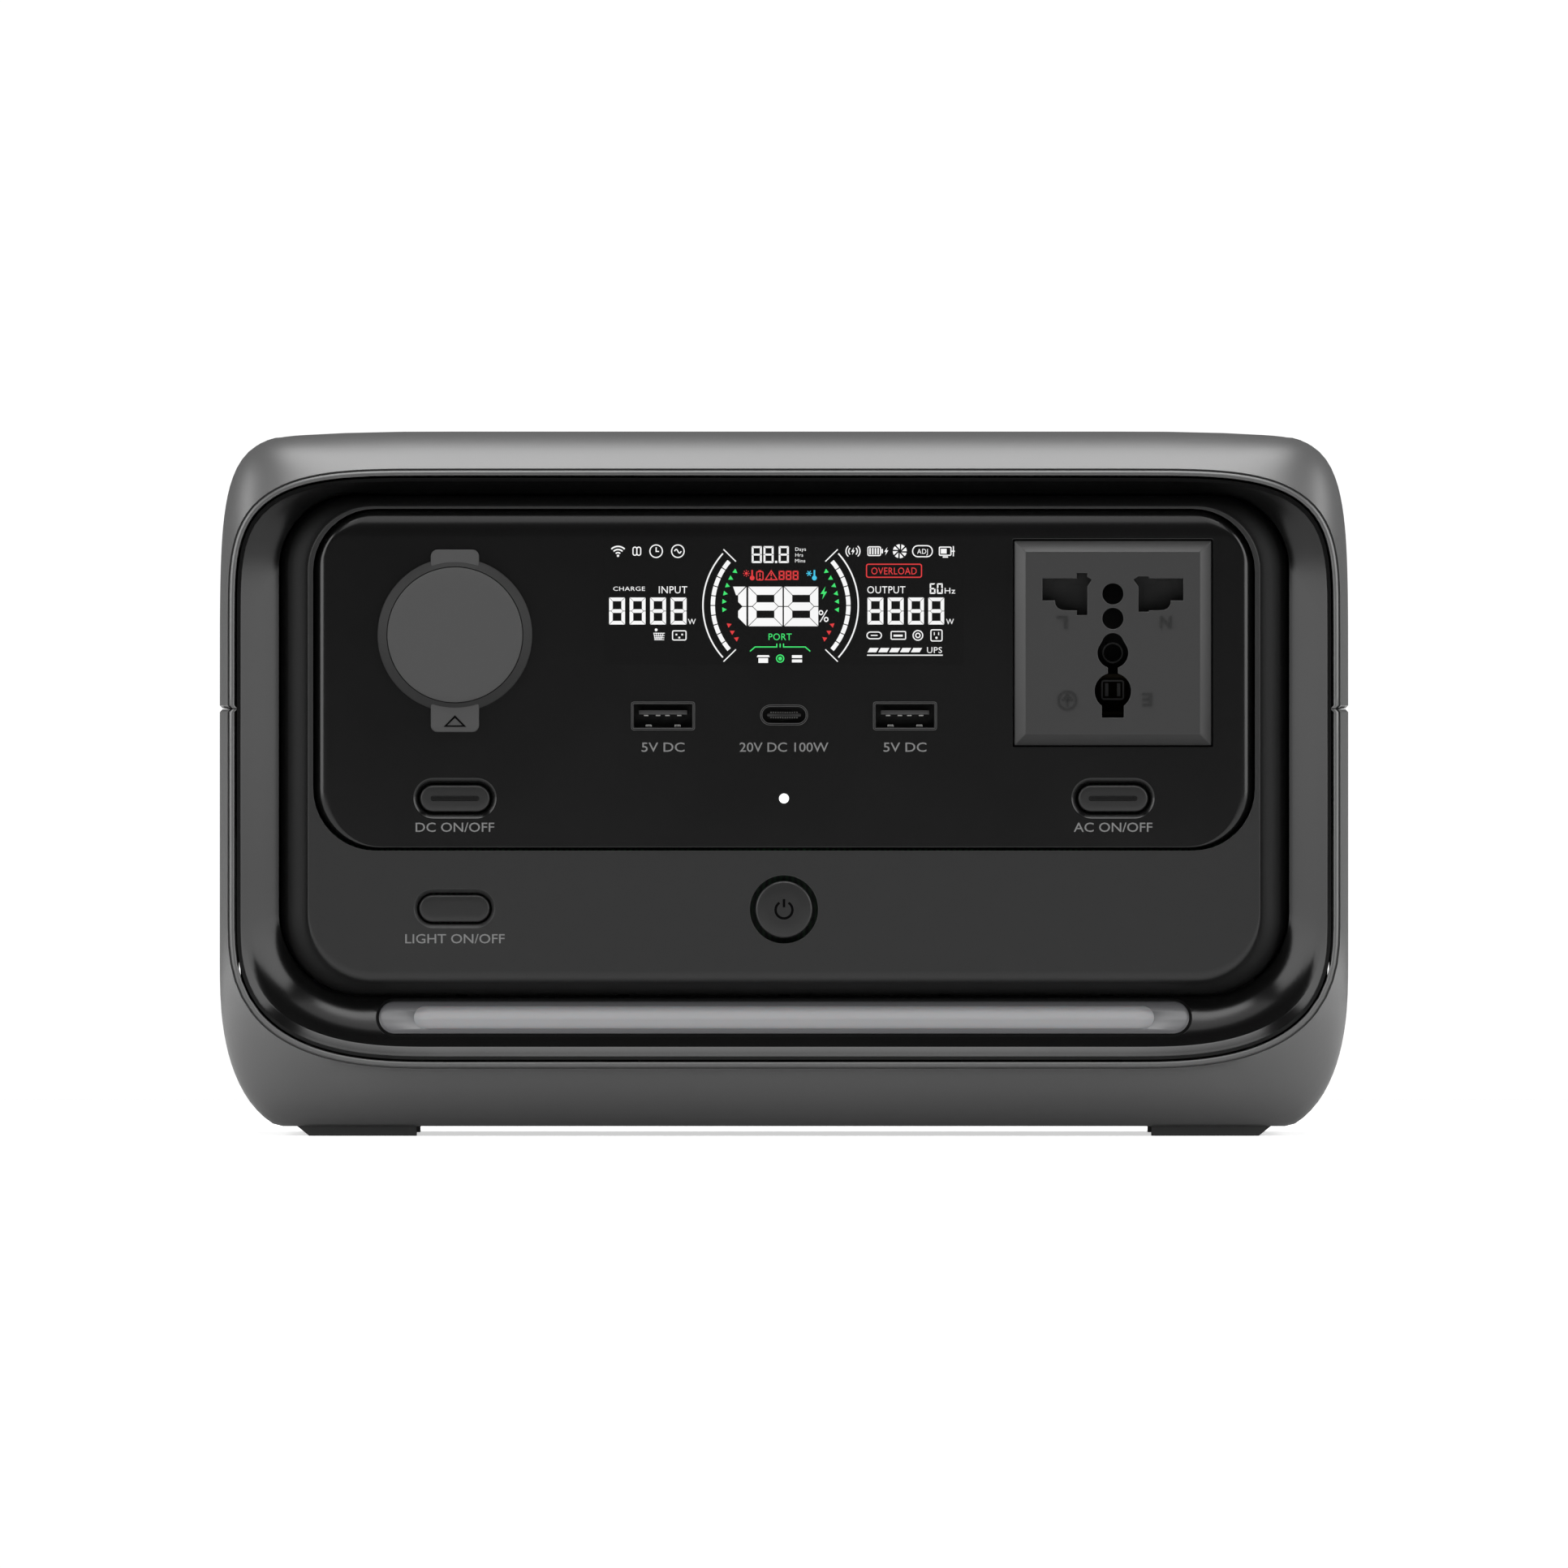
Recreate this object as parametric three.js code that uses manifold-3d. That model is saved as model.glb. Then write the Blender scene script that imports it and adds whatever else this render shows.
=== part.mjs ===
// A portable power station: a box-shaped battery and inverter with a front control panel, a light bar,
// two side vents, a fan at the back and a carry handle behind the body.
// Millimetres. +X is right, +Y is back, +Z is up. The origin is under the middle of the bounding box,
// on the surface that the feet stand on.
import * as THREE from "three";
import { mergeVertices } from "three/addons/utils/BufferGeometryUtils.js";
import Module from "manifold-3d";

const wasm = await Module();
wasm.setup();

// ---------------------------------------------------------------- driving dimensions
const GAP = 0.3; // clearance between neighbouring pieces
const FRONT = -116; // front edge of the shell
const BODY_BACK = 76; // back of the body, without the handle
const BACK = 116; // back of the handle
const BODY_HALF = 117.05; // half width of the shell
const BODY_TOP = 146.12;
const BODY_BOTTOM = 2; // underside of the shell, above the feet
const SEAM = 88.6; // height of the joint between the upper and the lower shell
const WALL = 2.5; // wall of the moulded shells
const PANEL = -112.8; // front face of the fascia and of the gloss panel
const PANEL_WALL = 3; // thickness of the fascia
const GLOSS = 1.4; // thickness of the gloss panel
const RIM = -115; // front edge of the bezel
const BOARD = -98; // front face of the circuit board behind the fascia
const BOARD_WALL = 1.6; // thickness of every circuit board
const CORNER_STEPS = 7; // straight pieces in each corner of the body's outlines
const ARC_STEPS = 4; // straight pieces in each quarter of a small arc
const ROUND_STEPS = 20; // straight pieces round a full circle

// ---------------------------------------------------------------- solids
// A closed geometry as a manifold-3d solid.
function solid(geometry) {
  const bare = new THREE.BufferGeometry();
  bare.setAttribute("position", geometry.getAttribute("position"));
  if (geometry.index) bare.setIndex(geometry.index);
  const merged = mergeVertices(bare, 1e-4);
  return new wasm.Manifold(
    new wasm.Mesh({
      numProp: 3,
      vertProperties: new Float32Array(merged.getAttribute("position").array),
      triVerts: new Uint32Array(merged.index.array),
    }),
  );
}

// A manifold-3d solid as a geometry, with a flat normal for each face.
function geometryOf(shape) {
  const mesh = shape.getMesh();
  const indexed = new THREE.BufferGeometry();
  indexed.setAttribute("position", new THREE.BufferAttribute(mesh.vertProperties, 3));
  indexed.setIndex(new THREE.BufferAttribute(mesh.triVerts, 1));
  const flat = indexed.toNonIndexed();
  flat.computeVertexNormals();
  return flat;
}

// All the shapes of a list joined in one solid.
const join = (shapes) => shapes.reduce((whole, shape) => whole.add(shape));

// The first shape with every shape of the list cut from it.
const cut = (shape, tools) => tools.reduce((left, tool) => left.subtract(tool), shape);

// A block between two corners.
function block([x0, y0, z0], [x1, y1, z1]) {
  const box = new THREE.BoxGeometry(x1 - x0, y1 - y0, z1 - z0);
  return solid(box.translate((x0 + x1) / 2, (y0 + y1) / 2, (z0 + z1) / 2));
}

// A flat shape drawn on the front view (x, z), as a plate between two depths.
function plate(shape, y0, y1, steps = ARC_STEPS) {
  const options = { depth: y1 - y0, bevelEnabled: false, curveSegments: steps };
  return solid(new THREE.ExtrudeGeometry(shape, options).rotateX(Math.PI / 2).translate(0, y1, 0));
}

// A flat shape drawn on the plan (x, y), as a slab between two heights.
function slab(shape, z0, z1, steps = CORNER_STEPS) {
  const options = { depth: z1 - z0, bevelEnabled: false, curveSegments: steps };
  return solid(new THREE.ExtrudeGeometry(shape, options).translate(0, 0, z0));
}

// A flat shape drawn on the side view (y, z), as a bar between two places across the width.
function bar(shape, x0, x1) {
  const options = { depth: x1 - x0, bevelEnabled: false };
  const sideToFrame = new THREE.Matrix4().makeBasis(
    new THREE.Vector3(0, 1, 0),
    new THREE.Vector3(0, 0, 1),
    new THREE.Vector3(1, 0, 0),
  );
  const drawn = new THREE.ExtrudeGeometry(shape, options).applyMatrix4(sideToFrame);
  return solid(drawn.translate(x0, 0, 0));
}

// A turned piece on an axis along Y: the profile's points are [radius, depth], the radius never negative.
function turned(x, z, profile, steps = ROUND_STEPS) {
  const points = profile.map(([radius, depth]) => new THREE.Vector2(radius, depth));
  return solid(new THREE.LatheGeometry(points, steps).translate(x, 0, z));
}

// A round rod along Y.
function rod(x, z, radius, y0, y1, steps = ROUND_STEPS) {
  const cylinder = new THREE.CylinderGeometry(radius, radius, y1 - y0, steps);
  return solid(cylinder.translate(x, (y0 + y1) / 2, z));
}

// ---------------------------------------------------------------- flat shapes
function polygon(points) {
  return new THREE.Shape(points.map(([u, v]) => new THREE.Vector2(u, v)));
}

function rectangle(u, v, width, height) {
  const [a, b] = [width / 2, height / 2];
  return polygon([[u - a, v - b], [u + a, v - b], [u + a, v + b], [u - a, v + b]]);
}

// A rectangle with round corners, and a stadium, whose ends are half circles.
function rounded(u, v, width, height, radius) {
  const [a, b] = [width / 2 - radius, height / 2 - radius];
  const shape = new THREE.Shape();
  shape.absarc(u + a, v - b, radius, -Math.PI / 2, 0);
  shape.absarc(u + a, v + b, radius, 0, Math.PI / 2);
  shape.absarc(u - a, v + b, radius, Math.PI / 2, Math.PI);
  shape.absarc(u - a, v - b, radius, Math.PI, 1.5 * Math.PI);
  return shape;
}

const stadium = (u, v, width, height) =>
  rounded(u, v, width, height, Math.min(width, height) / 2 - 0.001);

// ---------------------------------------------------------------- outlines of the front view
// The outline of a body seen from the front, as [x, z] points in a counter-clockwise loop. Each corner is a
// quarter of a superellipse: wide across, tall upwards, and squarer as its power rises. The top edge sinks
// away from crown.from outwards, by crown.sink times the square of the distance, so it has a point there.
function outline({ half, top, bottom, upper, lower, crown = { from: half, sink: 0 }, floor = bottom }) {
  const right = [];
  const quarter = (i) => (i / CORNER_STEPS) * (Math.PI / 2);
  for (let i = 0; i <= CORNER_STEPS; i++) {
    const x = half - lower.wide + lower.wide * Math.sin(quarter(i)) ** (2 / lower.power);
    const z = bottom + lower.tall - lower.tall * Math.cos(quarter(i)) ** (2 / lower.power);
    right.push([x, Math.max(z, floor)]);
  }
  for (let i = 0; i <= CORNER_STEPS; i++) {
    const x = half - upper.wide + upper.wide * Math.cos(quarter(i)) ** (2 / upper.power);
    const z = top - upper.tall + upper.tall * Math.sin(quarter(i)) ** (2 / upper.power);
    right.push([x, z - crown.sink * Math.max(0, x - crown.from) ** 2]);
  }
  right.push([Math.min(crown.from, 0.8 * (half - upper.wide)), top]);
  const left = right.map(([x, z]) => [-x, z]).reverse();
  return [...right, ...left];
}

// The same loop moved inwards by a distance, along the middle of its two edges at each point.
function inset(points, distance) {
  const count = points.length;
  const normal = (i) => {
    const [x0, z0] = points[(i + count) % count];
    const [x1, z1] = points[(i + 1) % count];
    const length = Math.hypot(x1 - x0, z1 - z0);
    return [(z1 - z0) / length, (x0 - x1) / length];
  };
  return points.map(([x, z], i) => {
    const [before, after] = [normal(i - 1), normal(i)];
    const scale = distance / (1 + before[0] * after[0] + before[1] * after[1]);
    return [x - scale * (before[0] + after[0]), z - scale * (before[1] + after[1])];
  });
}

// A loop part of the way from one loop to another.
function between(from, to, share) {
  return from.map(([x, z], i) => [x + (to[i][0] - x) * share, z + (to[i][1] - z) * share]);
}

// Loops at their depths, front to back, joined by a skin. The ends are closed, or, when the loops run out and
// back as the section of a ring, the last one is joined to the first.
function loft(sections, ring = false) {
  const count = sections[0][1].length;
  const positions = sections.flatMap(([y, points]) => points.flatMap(([x, z]) => [x, y, z]));
  const triangles = [];
  const bands = ring ? sections.length : sections.length - 1;
  for (let band = 0; band < bands; band++) {
    const next = (band + 1) % sections.length;
    for (let j = 0; j < count; j++) {
      const k = (j + 1) % count;
      const [a, b, c, d] = [band * count + j, band * count + k, next * count + k, next * count + j];
      triangles.push(a, d, b, b, d, c);
    }
  }
  if (!ring) {
    const last = (sections.length - 1) * count;
    for (let j = 1; j < count - 1; j++) {
      triangles.push(0, j, j + 1);
      triangles.push(last, last + j + 1, last + j);
    }
  }
  const geometry = new THREE.BufferGeometry();
  geometry.setAttribute("position", new THREE.Float32BufferAttribute(positions, 3));
  geometry.setIndex(triangles);
  return solid(geometry);
}

const bodyOutline = outline({
  half: BODY_HALF,
  top: BODY_TOP,
  bottom: 0,
  upper: { wide: 26, tall: 60, power: 5.6 },
  lower: { wide: 21.3, tall: 34.8, power: 2.45 },
  crown: { from: 74, sink: 0.00103 },
  floor: BODY_BOTTOM,
});
const openingOutline = outline({
  half: 113.85,
  top: 136.9,
  bottom: 15.4,
  upper: { wide: 44.4, tall: 32.5, power: 4 },
  lower: { wide: 41.7, tall: 29, power: 2.72 },
});
const lipOutline = inset(openingOutline, -1.15);
const moatOutline = outline({
  half: 104.75,
  top: 133.2,
  bottom: 28.9,
  upper: { wide: 15.5, tall: 15.5, power: 2 },
  lower: { wide: 17.3, tall: 17.3, power: 2 },
});
const ridgeOutline = outline({
  half: 98.9,
  top: 130.8,
  bottom: 32.1,
  upper: { wide: 13.5, tall: 13.5, power: 2 },
  lower: { wide: 13.5, tall: 13.5, power: 2 },
});

// ---------------------------------------------------------------- the part
const station = new THREE.Group();

const PLASTIC_GREY = { color: 0x67686a, roughness: 0.5, metalness: 0 };
const PLASTIC_DARK = { color: 0x2c2c2d, roughness: 0.6, metalness: 0 };
const PLASTIC_BLACK = { color: 0x121212, roughness: 0.45, metalness: 0 };
const GLOSS_BLACK = { color: 0x060606, roughness: 0.08, metalness: 0 };
const RUBBER_GREY = { color: 0x3c3c3c, roughness: 0.8, metalness: 0 };
const OUTLET_GREY = { color: 0x343434, roughness: 0.6, metalness: 0 };
const DIFFUSER = { color: 0xb9bab8, roughness: 0.4, metalness: 0 };
const STEEL = { color: 0xb4b6b8, roughness: 0.3, metalness: 1 };
const ALUMINIUM = { color: 0xc3c6c8, roughness: 0.35, metalness: 1 };
const BRASS = { color: 0xc8a24a, roughness: 0.3, metalness: 1 };
const BOARD_GREEN = { color: 0x11492c, roughness: 0.5, metalness: 0 };
const CELL_BLUE = { color: 0x2a5f9e, roughness: 0.4, metalness: 0 };
const TAPE_YELLOW = { color: 0xd9b23a, roughness: 0.5, metalness: 0 };

function add(name, shape, finish) {
  const mesh = new THREE.Mesh(geometryOf(shape), new THREE.MeshStandardMaterial(finish));
  mesh.name = name;
  station.add(mesh);
}

// Two mirrored copies of a piece, from its shape on one side: side is -1 on the left and 1 on the right.
function addPair(name, shapeOn, finish) {
  for (const [word, side] of [["left", -1], ["right", 1]]) {
    add(name + "_" + word, shapeOn(side), finish);
  }
}

// ---------------------------------------------------------------- shells
// One sleeve, moulded in two halves that meet at the seam. Its front edge slopes in to a narrow lip.
const SLOPE = 16; // depth over which the front edge slopes out to the full body
const slopeShare = (depth) => 1 - (1 - depth / SLOPE) ** 2;
const slopeSections = [0.8, 3.5, 7, 11, SLOPE].map((depth) => [
  FRONT + depth,
  between(lipOutline, bodyOutline, slopeShare(depth)),
]);

function sleeve() {
  const outside = loft([
    [FRONT, inset(lipOutline, 0.35)],
    ...slopeSections,
    [BODY_BACK - 3, bodyOutline],
    [BODY_BACK, inset(bodyOutline, 1)],
  ]);
  const walled = inset(bodyOutline, WALL);
  const inside = loft([
    [FRONT - 1, openingOutline],
    [FRONT + 5, openingOutline],
    [FRONT + 10, between(openingOutline, walled, 0.75)],
    [FRONT + 18, walled],
    [BODY_BACK + 1, walled],
  ]);
  return outside.subtract(inside);
}

const VENT = {
  front: -72,
  back: 52,
  low: 26,
  high: 68.9,
  proud: 0.15,
  border: 5,
  slots: 24,
  pitch: 4.8,
  slot: 2.2,
  slant: 6,
};
const FOOT = { inner: 76.3, outer: 101, outerAtFloor: 98.5, length: 26, front: -99, rear: 42, bed: 0.8 };
const EXPANSION = { half: 31, front: -20, back: 8, thick: 1.6 };

const bodyShell = sleeve();

function shellHalf(low, high) {
  return bodyShell.intersect(block([-130, FRONT - 2, low], [130, BODY_BACK + 2, high]));
}

function ventWindow(side, clearance) {
  const [near, far] = side > 0 ? [100, 130] : [-130, -100];
  return block(
    [near, VENT.front - clearance, VENT.low - clearance],
    [far, VENT.back + clearance, VENT.high + clearance],
  );
}

function footBed(side, front) {
  const [near, far] = [FOOT.inner - GAP, FOOT.outer + GAP].map((x) => x * side).sort((a, b) => a - b);
  return block([near, front - GAP, 0], [far, front + FOOT.length + GAP, BODY_BOTTOM + FOOT.bed]);
}

function lowerShell() {
  const beds = [-1, 1].flatMap((side) => [FOOT.front, FOOT.rear].map((front) => footBed(side, front)));
  const windows = [-1, 1].map((side) => ventWindow(side, GAP));
  const port = block(
    [-EXPANSION.half - GAP, EXPANSION.front - GAP, 0],
    [EXPANSION.half + GAP, EXPANSION.back + GAP, 10],
  );
  return cut(shellHalf(-1, SEAM - GAP / 2), [...beds, ...windows, port]);
}

add("upper_shell", shellHalf(SEAM + GAP / 2, 160), PLASTIC_GREY);
add("lower_shell", lowerShell(), PLASTIC_GREY);

// ---------------------------------------------------------------- side vents
// A moulded grille let into each side of the lower shell and a little proud of it, with slanted slots.
function sideVent(side) {
  const outer = inset(bodyOutline, -VENT.proud);
  const inner = inset(bodyOutline, WALL);
  const skin = loft([[VENT.front - 5, outer], [VENT.back + 5, outer]]);
  const hollow = loft([[VENT.front - 6, inner], [VENT.back + 6, inner]]);
  const [x0, x1] = [90 * side, 130 * side].sort((a, b) => a - b);
  const slots = [];
  for (let i = 0; i < VENT.slots; i++) {
    const y = VENT.front + VENT.border + VENT.slant / 2 + i * VENT.pitch;
    const [low, high] = [VENT.low + VENT.border, VENT.high - VENT.border];
    const [foot, head] = [y - VENT.slant / 2, y + VENT.slant / 2];
    const slot = [[foot, low], [foot + VENT.slot, low], [head + VENT.slot, high], [head, high]];
    slots.push(bar(polygon(slot), x0, x1));
  }
  return cut(skin.subtract(hollow).intersect(ventWindow(side, 0)), slots);
}

addPair("side_vent", sideVent, PLASTIC_DARK);

// ---------------------------------------------------------------- feet and expansion cover
function foot(side, front) {
  const profile = polygon([
    [FOOT.inner * side, 0],
    [FOOT.outerAtFloor * side, 0],
    [FOOT.outer * side, BODY_BOTTOM],
    [FOOT.outer * side, BODY_BOTTOM + FOOT.bed - GAP],
    [FOOT.inner * side, BODY_BOTTOM + FOOT.bed - GAP],
  ]);
  return plate(profile, front, front + FOOT.length);
}

addPair("foot_front", (side) => foot(side, FOOT.front), RUBBER_GREY);
addPair("foot_rear", (side) => foot(side, FOOT.rear), RUBBER_GREY);

const expansionCover = block(
  [-EXPANSION.half, EXPANSION.front, BODY_BOTTOM],
  [EXPANSION.half, EXPANSION.back, BODY_BOTTOM + EXPANSION.thick],
);
add("expansion_port_cover", expansionCover, PLASTIC_DARK);

// ---------------------------------------------------------------- bezel and light bar
// The bezel is a gloss ring that falls away from its rim to the edge of the fascia. The light bar lies in
// its lower side, in a stadium-shaped opening.
const LIGHT = { z: 24.6, width: 168, height: 6.7, back: -104.3 };
const BEZEL = { edge: -107.5, thick: 2.6, back: -100 };

function frontBezel() {
  const rimOuter = inset(openingOutline, GAP + 0.05);
  const rimInner = inset(rimOuter, 0.8);
  const skirtInner = inset(rimOuter, 2.2);
  const ring = loft(
    [
      [RIM, rimOuter],
      [BEZEL.back, rimOuter],
      [BEZEL.back, skirtInner],
      [RIM + 4.2, skirtInner],
      [BEZEL.edge + BEZEL.thick, moatOutline],
      [BEZEL.edge, moatOutline],
      [RIM + 3.4, between(rimInner, moatOutline, 0.4)],
      [RIM, rimInner],
    ],
    true,
  );
  const slot = stadium(0, LIGHT.z, LIGHT.width + 2 * GAP, LIGHT.height + 2 * GAP);
  return ring.subtract(plate(slot, FRONT, LIGHT.back + 2));
}

function lightBar() {
  const side = polygon([[-112.2, 20], [LIGHT.back, 20], [LIGHT.back, 29], [-108.2, 29], [-110.9, 25]]);
  const strip = bar(side, -LIGHT.width / 2 - 2, LIGHT.width / 2 + 2);
  return strip.intersect(plate(stadium(0, LIGHT.z, LIGHT.width, LIGHT.height), -114, -103));
}

add("front_bezel", frontBezel(), GLOSS_BLACK);
add("light_bar_diffuser", lightBar(), DIFFUSER);
const lightBoard = block([-82, LIGHT.back + GAP, 21.7], [82, LIGHT.back + GAP + BOARD_WALL, 27.5]);
add("light_bar_board", lightBoard, BOARD_GREEN);

// ---------------------------------------------------------------- controls and ports: places
const POWER = { x: 0, z: 47, radius: 5.95, hole: 7.05 };
const LONG_BUTTONS = {
  light_button: { x: -68.3, z: 47.2, width: 14.8, height: 5.75, mouth: [16.9, 8.25] },
  dc_button: { x: -68.2, z: 70, width: 14.6, height: 5.6, mouth: [17.3, 8.46] },
  ac_button: { x: 68.2, z: 70, width: 14.6, height: 5.6, mouth: [17.3, 8.46] },
};
const STATUS = { x: 0, z: 70, radius: 1.05 };
const WIDE_PORT = { x: 25.07, z: 87.1, width: 13.3, height: 6, openWidth: 12, openHeight: 4.7, back: -98.6 };
const OVAL_PORT = { x: 0, z: 87.3, width: 10, height: 4.37, openWidth: 8.9, openHeight: 3.15, back: -102 };
const SOCKET = { x: -68.2, z: 103.9, bore: 10.5, barrel: 12.7, back: -64, cap: 16.05 };
const OUTLET = { x: 68.15, z: 102.2, width: 40.8, height: 42.4 };
const DISPLAY = { x: 0, z: 110.6, width: 78, height: 29 };
const widePortShape = (port, growth) =>
  rounded(port.x, port.z, port.width + growth, port.height + growth, 0.6);
const ovalPortShape = (growth) =>
  stadium(OVAL_PORT.x, OVAL_PORT.z, OVAL_PORT.width + growth, OVAL_PORT.height + growth);
const ovalOpening = (growth) =>
  stadium(OVAL_PORT.x, OVAL_PORT.z, OVAL_PORT.openWidth + growth, OVAL_PORT.openHeight + growth);

// ---------------------------------------------------------------- fascia and gloss panel
// The fascia is a tray whose edge rises out of the moat to a flat front. The gloss panel lies in a pocket in
// it. Both are pierced for the controls and the ports.
const glossShape = (growth) => rounded(0, 94.62, 195.2 + growth, 70.85 + growth, 12.2);

// A funnel that narrows from the panel's face to the hole that a long button moves in.
function funnel({ x, z, width, height, mouth }, depth) {
  const wide = stadium(x, z, mouth[0], mouth[1]).getPoints(ARC_STEPS);
  const narrow = stadium(x, z, width + 2 * GAP, height + 2 * GAP).getPoints(ARC_STEPS);
  const loop = (points) => points.slice(0, narrow.length - 1).map((point) => [point.x, point.y]);
  return loft([[PANEL - 0.01, loop(wide)], [PANEL + depth, loop(narrow)]]);
}

const buttonHole = ({ x, z, width, height }) =>
  plate(stadium(x, z, width + 2 * GAP, height + 2 * GAP), FRONT, -90);

// The openings that run through both the gloss panel and the fascia behind it.
function portOpenings() {
  return [
    plate(widePortShape({ ...WIDE_PORT, x: -WIDE_PORT.x }, 2 * GAP), FRONT, -90, 2),
    plate(widePortShape(WIDE_PORT, 2 * GAP), FRONT, -90, 2),
    plate(ovalPortShape(2 * GAP), FRONT, -90),
    plate(rectangle(OUTLET.x, OUTLET.z, OUTLET.width + 2 * GAP, OUTLET.height + 2 * GAP), FRONT, -90),
    rod(STATUS.x, STATUS.z, STATUS.radius + GAP, FRONT, -90, 12),
    buttonHole(LONG_BUTTONS.dc_button),
    buttonHole(LONG_BUTTONS.ac_button),
  ];
}

function fasciaPanel() {
  const outer = inset(moatOutline, GAP + 0.05);
  const outside = loft([
    [PANEL, inset(ridgeOutline, 1)],
    [PANEL + 0.4, ridgeOutline],
    [PANEL + 2.4, between(outer, ridgeOutline, 0.7)],
    [PANEL + 5, between(outer, ridgeOutline, 0.3)],
    [PANEL + 7.5, outer],
    [BOARD - GAP, outer],
  ]);
  const cavity = inset(ridgeOutline, 2);
  const inside = loft([
    [PANEL + PANEL_WALL, cavity],
    [PANEL + 8, inset(outer, 2.4)],
    [BOARD + 1, inset(outer, 2.4)],
  ]);
  return cut(outside.subtract(inside), [
    plate(glossShape(2 * GAP), FRONT, PANEL + GLOSS + GAP, CORNER_STEPS),
    ...portOpenings(),
    rod(POWER.x, POWER.z, POWER.hole, FRONT, -90),
    buttonHole(LONG_BUTTONS.light_button),
    funnel(LONG_BUTTONS.light_button, 0.9),
    rod(SOCKET.x, SOCKET.z, SOCKET.barrel + GAP, FRONT, -90),
    block(
      [DISPLAY.x - DISPLAY.width / 2, FRONT, DISPLAY.z - DISPLAY.height / 2],
      [DISPLAY.x + DISPLAY.width / 2, -90, DISPLAY.z + DISPLAY.height / 2],
    ),
  ]);
}

function glossPanel() {
  return cut(plate(glossShape(0), PANEL, PANEL + GLOSS, CORNER_STEPS), [
    ...portOpenings(),
    rod(SOCKET.x, SOCKET.z, SOCKET.bore + 0.5, FRONT, -90),
    funnel(LONG_BUTTONS.dc_button, 1),
    funnel(LONG_BUTTONS.ac_button, 1),
  ]);
}

add("fascia_panel", fasciaPanel(), PLASTIC_DARK);
add("gloss_panel", glossPanel(), GLOSS_BLACK);

const displayFront = PANEL + GLOSS + GAP;
const displayModule = block(
  [DISPLAY.x - DISPLAY.width / 2 + GAP, displayFront, DISPLAY.z - DISPLAY.height / 2 + GAP],
  [DISPLAY.x + DISPLAY.width / 2 - GAP, -104, DISPLAY.z + DISPLAY.height / 2 - GAP],
);
add("lcd_module", displayModule, PLASTIC_BLACK);

// ---------------------------------------------------------------- buttons and status light
// Each button is a cap in front of a flange that holds it behind the panel, with a plunger that reaches to
// the switch on the board.
const BUTTON = { travel: 0.8, flange: 1, plunger: 2 };
const flangeFront = PANEL + PANEL_WALL + GAP;
const plungerBack = BOARD - BUTTON.travel - GAP;

function withPlunger(cap, flange, x, z) {
  return join([cap, flange, rod(x, z, BUTTON.plunger, flangeFront, plungerBack, 12)]);
}

function powerButton() {
  const cap = rod(POWER.x, POWER.z, POWER.radius, PANEL - 0.2, flangeFront + BUTTON.flange);
  const flange = rod(POWER.x, POWER.z, POWER.hole + 1.5, flangeFront, flangeFront + BUTTON.flange);
  return withPlunger(cap, flange, POWER.x, POWER.z);
}

function longButton({ x, z, width, height }) {
  const cap = plate(stadium(x, z, width, height), PANEL + 0.3, flangeFront + BUTTON.flange);
  const flange = plate(stadium(x, z, width + 3, height + 3), flangeFront, flangeFront + BUTTON.flange);
  return withPlunger(cap, flange, x, z);
}

add("power_button", powerButton(), PLASTIC_DARK);
for (const [name, button] of Object.entries(LONG_BUTTONS)) {
  add(name, longButton(button), PLASTIC_DARK);
}
add("status_light_pipe", rod(STATUS.x, STATUS.z, STATUS.radius, PANEL, BOARD - 0.6, 12), DIFFUSER);

// ---------------------------------------------------------------- low-voltage ports
// A stamped steel sleeve, closed at the back by the moulding that carries the contact tongue.
function widePortSleeve(side) {
  const port = { ...WIDE_PORT, x: WIDE_PORT.x * side };
  const opening = rectangle(port.x, port.z, port.openWidth, port.openHeight);
  const outer = plate(widePortShape(port, 0), PANEL - 0.2, port.back, 2);
  return outer.subtract(plate(opening, FRONT, port.back + 1));
}

function widePortTongue(side) {
  const x = WIDE_PORT.x * side;
  const base = rectangle(x, WIDE_PORT.z, WIDE_PORT.openWidth - 2 * GAP, WIDE_PORT.openHeight - 2 * GAP);
  const tongue = rectangle(x, WIDE_PORT.z + 0.75, 10.1, 0.9);
  return join([plate(base, WIDE_PORT.back - 2.5, WIDE_PORT.back), plate(tongue, PANEL + 1, WIDE_PORT.back)]);
}

function ovalPortSleeve() {
  const outer = plate(ovalPortShape(0), PANEL - 0.2, OVAL_PORT.back);
  return outer.subtract(plate(ovalOpening(0), FRONT, OVAL_PORT.back + 1));
}

function ovalPortTongue() {
  const { x, z, back } = OVAL_PORT;
  const tongue = plate(rectangle(x, z, 6.7, 0.7), PANEL + 0.8, back);
  return tongue.add(plate(ovalOpening(-2 * GAP), back - 2, back));
}

addPair("wide_port_sleeve", widePortSleeve, STEEL);
addPair("wide_port_tongue", widePortTongue, PLASTIC_BLACK);
add("oval_port_sleeve", ovalPortSleeve(), STEEL);
add("oval_port_tongue", ovalPortTongue(), PLASTIC_BLACK);

// ---------------------------------------------------------------- mains outlet
// A multi-standard outlet: a raised face with slots and round holes, a housing behind it, three brass
// contacts and a sliding shutter behind the live and neutral slots.
const FACE = { plateau: -114.8, shoulder: -112.6, back: -109.2, bevel: 2.3 };
const HOUSING = { front: -108.9, back: -84, wall: 2.2 };
const SHUTTER = { front: -108.5, back: -107.1, low: 4.4, high: 15.6, half: 16.6, notch: 4.2, bridge: 1.8 };

const atOutlet = (points) => polygon(points.map(([u, v]) => [OUTLET.x + u, OUTLET.z + v]));

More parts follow.
